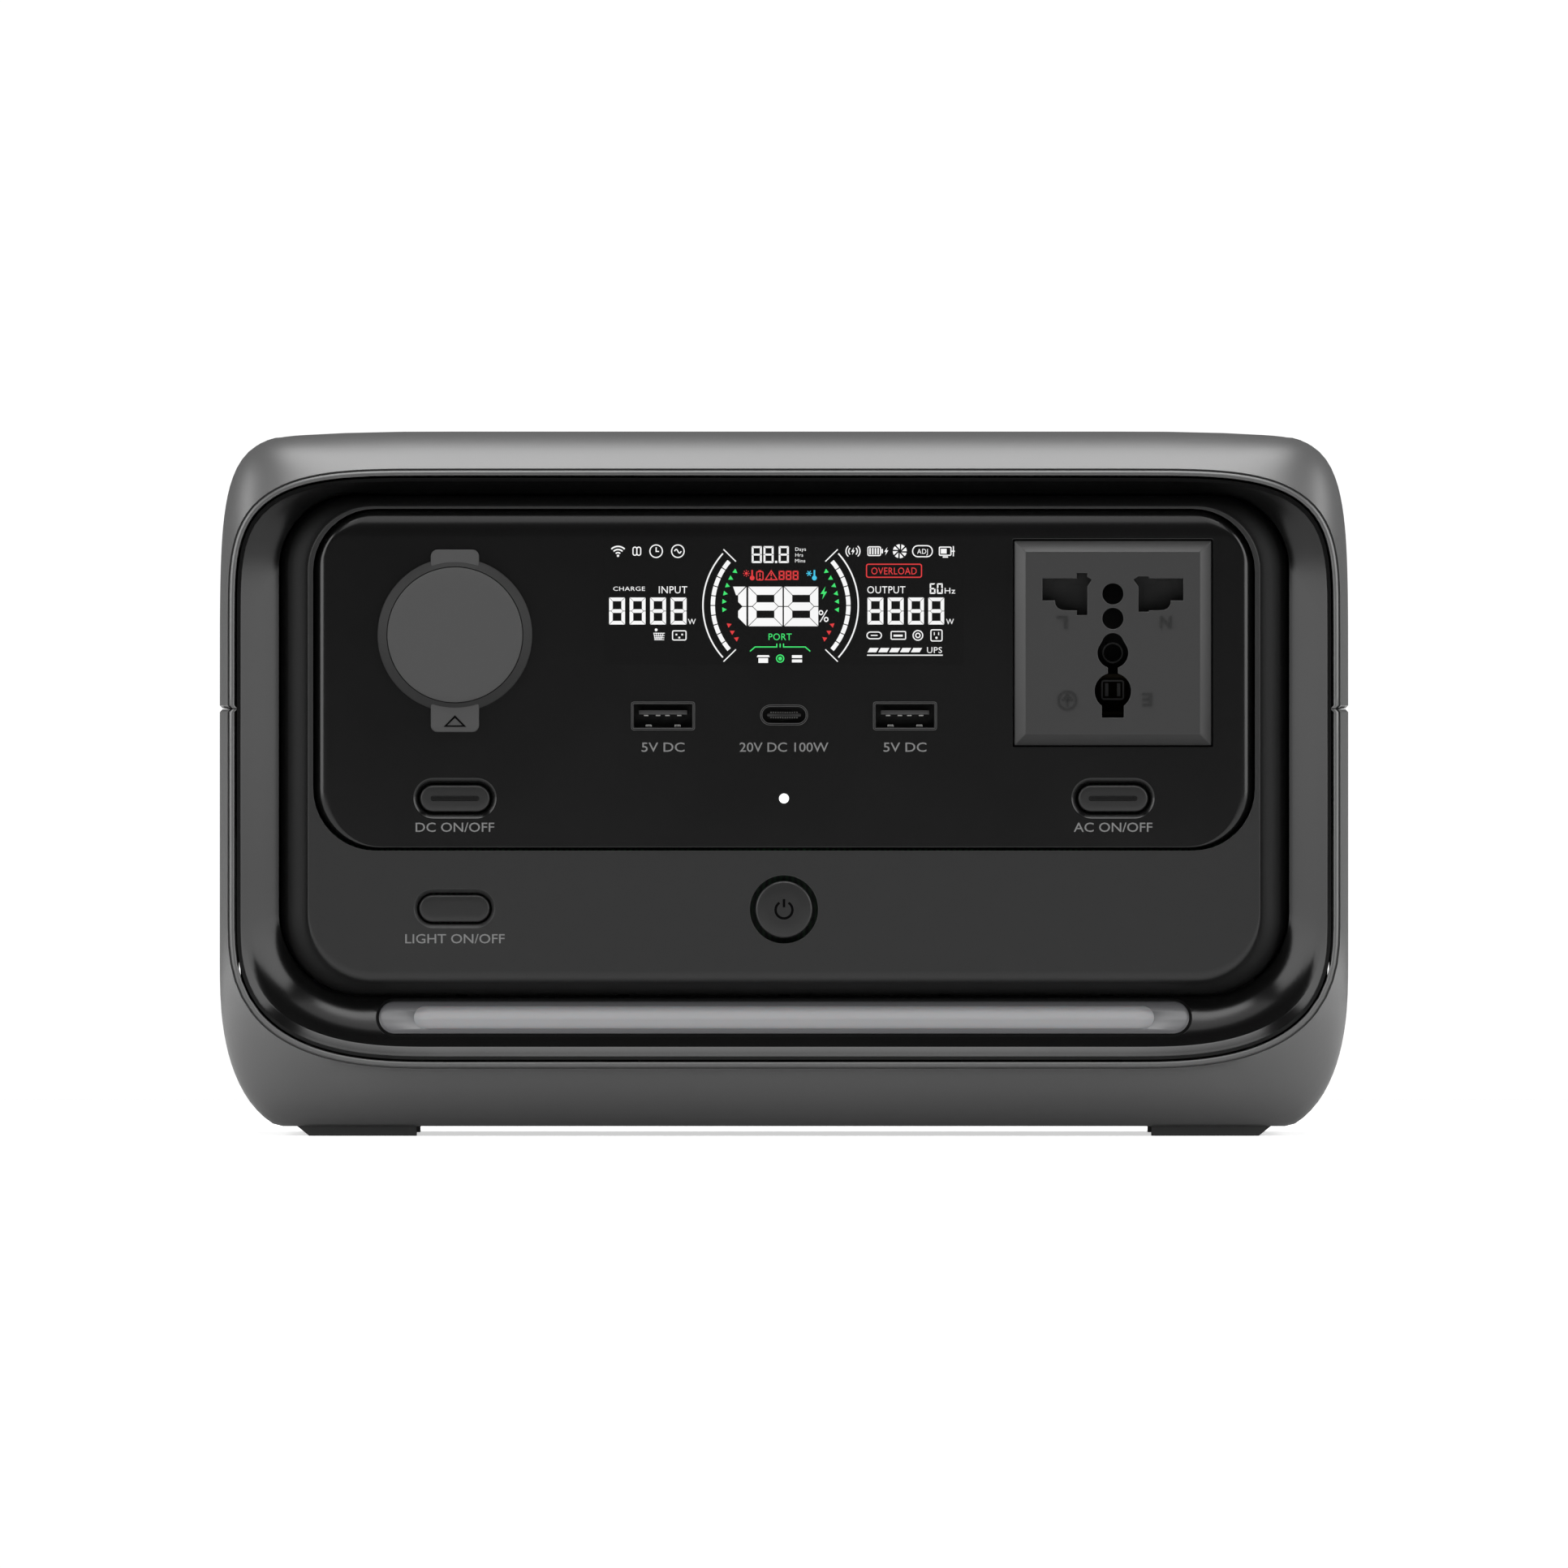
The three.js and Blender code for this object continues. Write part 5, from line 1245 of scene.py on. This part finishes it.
# Symbols of the upper left: a signal fan, a link, a clock and a wave in a ring.
symbols = 11.25
for radius in (0.65, 1.3, 1.95):
    white.append(trace(arc(-33.7, symbols - 0.95, radius, 45, 135, 12), 0.3))
white.append(dot(-33.7, symbols - 0.95, 0.25))
white += [frame_line(-30.2, symbols, 0.8, 1.7, 0.4), frame_line(-29.4, symbols, 0.8, 1.7, 0.4)]
white += [hoop(-25.8, symbols, 1.3), hoop(-21.3, symbols, 1.3)]
white.append(trace([(-25.8, symbols + 0.8), (-25.8, symbols - 0.05), (-25.2, symbols - 0.05)]))
wave = np.linspace(-1, 1, 13)
white.append(trace(np.c_[-21.3 + 0.7 * wave, symbols - 0.4 * np.sin(wave * math.pi)]))
# Symbols of the upper right: a wave-fed flash, a battery with a flash, a fan, a ringed word, a plug battery.
for turn in (0, 180):
    for radius in (0.9, 1.45):
        white.append(trace(arc(15.0, symbols, radius, turn - 48, turn + 48, 10)))
white += [bolt(15.0, symbols, 0.8), bolt(21.9, symbols, 0.85)]
white += [frame_line(19.4, symbols, 2.6, 1.8, 0.25), block(20.9, 21.2, symbols - 0.45, symbols + 0.45)]
for bar in range(4):
    white.append(block(18.4 + 0.55 * bar, 18.7 + 0.55 * bar, symbols - 0.65, symbols + 0.65))
for turn in range(0, 360, 45):
    blade = [*arc(24.7, symbols, 1.45, turn, turn + 32, 2), *arc(24.7, symbols, 0.4, turn, turn + 1, 1)[:1]]
    white.append(mark(*blade))
white.append(frame_line(29.4, symbols, 4.1, 2.3, 1.1))
white += [frame_line(34.1, symbols, 2.4, 1.7, 0.2), block(33.2, 34.4, symbols - 0.5, symbols + 0.5)]
white += [trace([(35.8, symbols - 1.05), (35.8, symbols + 1.05)]), trace([(35.3, symbols), (36.1, symbols)])]
white.append(block(33.6, 34.7, symbols - 1.35, symbols - 1.05))


def thermometer(x, z):
    """A stem over a bulb."""
    return [trace([(x, z + 1.0), (x, z - 0.3)], 0.35), dot(x, z - 0.65, 0.5)]


def warning_sign(x, z):
    """An exclamation mark: a stroke with a spot below it."""
    return [trace([(x, z + 0.4), (x, z - 0.3)]), block(x - 0.15, x + 0.15, z - 0.85, z - 0.55)]


# Warnings over the charge: a sun and a snowflake by their thermometers, a battery and a triangle.
red += [dot(-7.1, 6.65, 0.3), *thermometer(-5.9, 6.35)]
for ray in np.radians(range(0, 360, 45)):
    way = np.array((math.cos(ray), math.sin(ray)))
    red.append(trace([way * 0.45 + (-7.1, 6.65), way * 0.7 + (-7.1, 6.65)], thin_line))
red += [frame_line(-4.3, 6.15, 1.3, 1.7, 0.2), block(-4.6, -4.0, 7.05, 7.3), *warning_sign(-4.3, 6.25)]
red += [trace([(-1.95, 7.2), (-0.75, 5.35), (-3.15, 5.35)], closed=True), *warning_sign(-1.95, 6.35)]
blue += thermometer(7.0, 6.35)
for arm in np.radians((0, 60, 120)):
    way = 0.6 * np.array((math.cos(arm), math.sin(arm)))
    blue.append(trace([way + (5.9, 6.65), (5.9, 6.65) - way], 0.18))

# Below the readings: a panel and a socket for the input; four outlets, and a striped bar, for the output.
sources = -6.2
for i in range(5):
    white.append(trace([(-26.0 + 0.3 * i, sources - 0.85), (-26.3 + 0.5 * i, sources + 0.55)], thin_line))
for drop in (-0.45, 0.05, 0.5, 0.9):
    white.append(trace([(-26.2, sources - drop), (-24.05 - 0.1 * drop, sources - drop)], thin_line))
white.append(dot(-25.8, sources + 1.15, 0.3))
white.append(frame_line(-21.0, sources, 2.8, 1.9, 0.3))
white += [block(-21.0 + dx - 0.18, -21.0 + dx + 0.18, sources + dz - 0.17, sources + dz + 0.17)
          for dx, dz in ((-0.6, 0.17), (0.6, 0.17), (0, -0.45))]
white += [frame_line(19.4, sources, 3.0, 1.4, 0.7), trace([(18.7, sources), (20.1, sources)])]
white += [frame_line(24.4, sources, 3.0, 1.6, 0.2), block(23.4, 25.3, sources - 0.25, sources + 0.15)]
white += [hoop(28.45, sources, 1.0), hoop(28.45, sources, 0.45)]
white += [frame_line(32.3, sources, 2.3, 2.3, 0.3), dot(32.3, sources - 0.5, 0.25)]
white += [block(32.3 + dx - 0.1, 32.3 + dx + 0.1, sources + 0.05, sources + 0.65) for dx in (-0.45, 0.45)]
for i in range(5):
    left = 18.0 + 2.25 * i
    white.append(mark((left, -9.7), (left + 1.8, -9.7), (left + 2.3, -8.8), (left + 0.5, -8.8)))
white.append(trace([(17.9, -10.3), (33.6, -10.3)]))

# The port branch below the charge, with its three symbols.
branch = -0.1
for side in (-1, 1):
    path = ((6.25, -9.5), (5.2, -8.6), (0.7, -8.6), (0.7, -7.9))
    green.append(trace([(branch + side * x, z) for x, z in path]))
green += [trace([(branch, -7.9), (branch, -8.7)]), hoop(branch, -11.0, 0.75), dot(branch, -11.0, 0.4)]
white.append(mark((-4.95, -10.7), (-2.25, -10.7), (-2.45, -10.3), (-4.75, -10.3)))
white.append(block(-4.6, -2.6, -11.9, -10.9))
white += [block(2.35, 4.45, low, low + 0.6) for low in (-10.9, -11.8)]

# The dials: a thin arc each side, a thick one in steps inside it, and small triangles that point outwards.
step_angle = 8.2
for turn in (0, 180):
    white.append(trace(arc(0, 0, 16.1, turn - 42, turn + 42, 40), 0.3))
    for step in range(10):
        start = turn - 41 + step * step_angle
        outer = arc(0, 0, 14.5, start + 0.4, start + step_angle - 0.4, 4)
        inner = arc(0, 0, 13.6, start + step_angle - 0.4, start + 0.4, 4)
        white.append(mark(*outer, *inner))
    for end in np.radians((turn - 44.5, turn + 44.5)):
        way = np.array((math.cos(end), math.sin(end)))
        white.append(trace([way * 13.0, way * 16.6]))
    # Above the level the triangles are green; the lowest three, after a gap, are red.
    for colour, first, count, radius in ((green, 36.8, 6, 11.65), (red, -20.7, 3, 11.3)):
        for i in range(count):
            angle = math.radians(first - step_angle * i)
            out = np.array((math.cos(angle) * (-1 if turn else 1), math.sin(angle)))
            along = np.array((-out[1], out[0])) * 0.5
            point, base = out * (radius - 0.45), out * (radius + 0.45)
            colour.append(mark(point, base + along, base - along))


def glowing(name, colour, strength):
    """A lit display segment: its colour glows, a little less towards a slow wave of the backlight."""
    material, shader = new_material(name)
    place = add_node(material, "TexCoord").outputs["Object"]
    drift = add_node(material, "TexNoise", {"Vector": place, "Scale": 1 / (12 * MM)})
    level = add_node(material, "MapRange", {
        "Value": drift.outputs["Fac"],
        "To Min": strength * 0.92,
        "To Max": strength * 1.04,
    })
    set_inputs(material, shader, {
        "Emission Strength": level.outputs["Result"],
        "Base Color": linear("242424"),
        "Emission Color": linear(colour),
    })
    material.cycles.emission_sampling = "NONE"  # it lights nothing around it
    shader.inputs["Roughness"].default_value = 0.3
    return material


for name, shapes, colour in (
    ("white", white, "f6f6f6"),
    ("green", green, "2ee66b"),
    ("red", red, "e02428"),
    ("blue", blue, "35c4e8"),
):
    segments = film(f"screen_{name}_segments", shapes, panel_face - 0.005, 0.02)
    finish_piece(segments, glowing(f"{name}_backlit_segments", colour, 1.0), f"display_{name}")
window_loop = rounded_loop(-0.05, 110.6, 74.5, 25.6, 0.3)
window_depths = (panel_face + 0.3, panel_face - 0.005)
window = lofted("screen_window", [at_depth(window_loop, y) for y in window_depths])
window_glass = smooth_plastic("smoked_screen_window", "0c0c0c", "0d0d0d", 0.13, ripple=0.001)
finish_piece(window, window_glass, "black_gloss_plastic")


# ==== Carry handle ====
# A fixed handle moulded in the shell's plastic, bolted to the back of the upper shell. Its arms widen
# downwards at their roots, and it bends round to a bar that the fingers reach under from behind.
handle_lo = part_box("carry_handle")[0] / MM


def handle_path():
    """The handle's middle in plan: back from the right root, a quarter circle, and across to the left."""
    radius, x, y = 22.0, 105.0, 105.5
    straight = np.c_[np.full(8, x), np.linspace(handle_lo.y, y - radius, 9)[:-1]]
    t = np.linspace(0, math.pi / 2, 17)
    bend = np.c_[x - radius + radius * np.cos(t), y - radius + radius * np.sin(t)]
    across = np.c_[np.linspace(x - radius, 0, 12)[1:], np.full(11, y)]
    right = np.concatenate([straight, bend, across])
    return np.concatenate([right, (right[:-1] * (-1, 1))[::-1]])


path = handle_path()
along = np.gradient(path, axis=0)
along /= np.linalg.norm(along, axis=1, keepdims=True)
side_way = np.c_[along[:, 1], -along[:, 0]]
# Half the width, the lower edge and the upper edge of the section at each depth of the path.
half_wide = np.interp(path[:, 1], [76.3, 90, 104], [12.0, 11.4, 10.4])
lower_edge = np.interp(path[:, 1], [76.3, 80, 88, 97, 104], [105.5, 108.5, 114.0, 118.0, 119.5])
upper_edge = np.interp(path[:, 1], [76.3, 90, 105.5], [145.9, 145.6, 144.6])
t = np.linspace(0, 2 * math.pi, 49)[:-1]
power = np.interp(path[:, 1], [76.3, 92, 105.5], [2.2, 2.5, 3.0])[:, None]
ring_u = np.sign(np.cos(t)) * np.abs(np.cos(t)) ** (2 / power)
ring_v = np.sign(np.sin(t)) * np.abs(np.sin(t)) ** (2 / power)
middle_z, half_tall = (lower_edge + upper_edge) / 2, (upper_edge - lower_edge) / 2
across = path[:, None] + side_way[:, None] * (ring_u[..., None] * half_wide[:, None, None])
height = middle_z[:, None] + half_tall[:, None] * ring_v
handle_rows = np.concatenate([across, height[..., None]], axis=2)
handle = lofted("carry_handle_moulding", handle_rows, sharp=50)
finish_piece(handle, shell_plastic, "grey_shell_plastic", "carry_handle")
# A rubber grip pad under the bar, with ribs that run along it.
grip_half, rib_pitch = 62.0, 3.0
y = np.linspace(97.5, 113.5, 81)
rib = 0.35 * (0.5 - 0.5 * np.cos((y - 97.5) / rib_pitch * 2 * math.pi))
under = np.interp(y, [97.5, 99.5, 105.5, 111.5, 113.5], [121.2, 119.75, 119.35, 119.75, 121.2]) - 0.25 - rib
over = np.interp(y[::-1], [97.5, 105.5, 113.5], [122.5, 121.5, 122.5])
grip_loop = np.r_[np.c_[y, under], np.c_[y[::-1], over]]
grip_rows = [np.c_[np.full(len(grip_loop), x), grip_loop] for x in (-grip_half, 0, grip_half)]
grip = lofted("carry_handle_grip", grip_rows, sharp=60)
grip_rubber = grained_plastic("black_moulded_elastomer", "161616", "191919", 0.65, 0.3, 0.006, specular=0.3)
finish_piece(grip, grip_rubber, "dark_rubber")


def repaint(material, *nodes):
    """Gives CAD nodes that are shown as they are this material."""
    for node in nodes:
        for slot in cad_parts[node].material_slots:
            slot.material = material


# ==== Vents, feet and the port below ====
# The side vents are slanted louvres moulded in black and clipped in from inside; the feet are rubber pads
# stuck in shallow beds; the cover below closes the port for a second battery.
vent_plastic = grained_plastic("black_grained_polypropylene", "232323", "262626", 0.5, 0.4, 0.01)
repaint(vent_plastic, "side_vent_left", "side_vent_right", "expansion_port_cover")
foot_rubber = grained_plastic("dark_grey_foot_rubber", "484848", "4c4c4c", 0.8, 0.3, 0.01, specular=0.25)
feet = [f"foot_{place}_{side}" for place in ("front", "rear") for side in ("left", "right")]
repaint(foot_rubber, *feet)


# ==== Back ====
# The rear panel carries the fan behind its round grille, and the mains and solar inlets under a hinged
# rubber cover. Six pan-head screws hold it.
repaint(vent_plastic, "rear_panel", "fan_frame", "fan_rotor")
repaint(cap_rubber, "input_cover")
repaint(mouth_plastic, "ac_inlet_housing", "solar_inlet_housing")
repaint(steel, "ac_inlet_pin_live", "ac_inlet_pin_neutral", "ac_inlet_pin_earth")
repaint(brass, "solar_inlet_pin_left", "solar_inlet_pin_right")
panel_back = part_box("rear_panel")[1].y / MM
screw_steel = dull_metal("black_zinc_plated_steel", "3a3a3a", "464646", 0.35)


def pan_screw(name, x, z, face):
    """A pan-head screw that faces backwards: a domed head of 3 mm radius, with a cross recess."""
    dome = [(3.0, -0.4), (3.0, 0.35), (2.8, 0.9), (2.3, 1.3), (1.5, 1.55), (0.6, 1.65)]
    rows = [at_depth(arc(x, z, r, 0, 360, 28)[:-1], face + out) for r, out in dome]
    head = lofted(name, rows, sharp=45)
    half, slot = 1.5, 0.28
    cross = [(half, slot), (slot, slot), (slot, half), (-slot, half), (-slot, slot), (-half, slot)]
    cross += [(-a, -b) for a, b in cross]
    cutter_rows = [at_depth(np.array(cross) + (x, z), face + out) for out in (0.7, 2.2)]
    carved(head, lofted("cross_cutter", cutter_rows))
    finish_piece(head, screw_steel, "plated_steel")


screw_places = ((-100, 24), (100, 24), (-100, 108), (100, 112), (0, 14), (20, 124))
for number, (x, z) in enumerate(screw_places):
    pan_screw(f"rear_screw_{number}", x, z, panel_back)
# A ribbed pull under the cover's lower edge, and a line round its face.
cover_lo, cover_hi = (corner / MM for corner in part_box("input_cover"))
cover_x, cover_z = (cover_lo.x + cover_hi.x) / 2, (cover_lo.z + cover_hi.z) / 2
cover_wide, cover_tall = cover_hi.x - cover_lo.x, cover_hi.z - cover_lo.z
rib_half, first_rib = 8, cover_lo.z + 2.2
ribs = [stroke([(cover_x - rib_half, first_rib + i), (cover_x + rib_half, first_rib + i)], 0.45)
        for i in range(4)]
cover_line = rounded_loop(cover_x, cover_z + 1.5, cover_wide - 7, cover_tall - 12, 3)
cover_marks = film("input_cover_ribs", [*ribs, stroke(cover_line, 0.5, closed=True)], cover_hi.y + 0.25, 0.3)
finish_piece(cover_marks, cap_rubber, "dark_rubber", body="input_cover")


# ==== Inside ====
# What shows through the vents and openings, or would in a cut: the cells in their holders, the boards, the
# transformer and the heat sink, the contacts, and the housings behind the front.
def solder_resist(name):
    """A circuit board's green lacquer: glossy, over copper tracks that show as lighter lines 1.2 mm apart."""
    material, shader = new_material(name)
    place = add_node(material, "TexCoord").outputs["Object"]
    tracks = add_node(material, "TexVoronoi", {"Vector": place, "Scale": 1 / (6 * MM)}, distance="MANHATTAN")
    lines = add_node(material, "TexWave", {"Vector": place, "Scale": 0.314 / (1.2 * MM), "Distortion": 0.0})
    both = add_node(material, "Math", {0: tracks.outputs["Distance"]}, operation="MULTIPLY")
    material.node_tree.links.new(lines.outputs["Fac"], both.inputs[1])
    mixed = add_node(material, "Mix", {
        "Factor": both.outputs["Value"],
        "A": linear("0d3a22"),
        "B": linear("2c6a3e"),
    }, data_type="RGBA")
    set_inputs(material, shader, {
        "Base Color": mixed.outputs["Result"],
        "Roughness": 0.3,
    })
    return material


board_green = solder_resist("green_solder_resist_board")
repaint(board_green, "front_board", "battery_board", "inverter_board", "light_bar_board")
repaint(mouth_plastic, "outlet_housing", "outlet_shutter", "lcd_module")
repaint(mouth_plastic, "cell_holder_front", "cell_holder_rear")
# The outlet's contacts get a near-black bronze colour. It is painted shade of the deep openings they sit in.
bronze_painted_shade = dull_metal("phosphor_bronze_painted_shade", "1a1814", "242019", 0.45)
repaint(bronze_painted_shade, "outlet_contact_live", "outlet_contact_neutral", "outlet_contact_earth")
repaint(brass, "car_socket_contact")
repaint(steel, "car_socket_barrel", *[f"cell_{number}" for number in range(1, 7)])
repaint(dull_metal("extruded_bare_aluminium", "a8a8a6", "b6b6b4", 0.4), "heat_sink")
tape = smooth_plastic("yellow_polyester_tape", "a08a34", "ac963e", 0.3)
repaint(tape, "transformer")
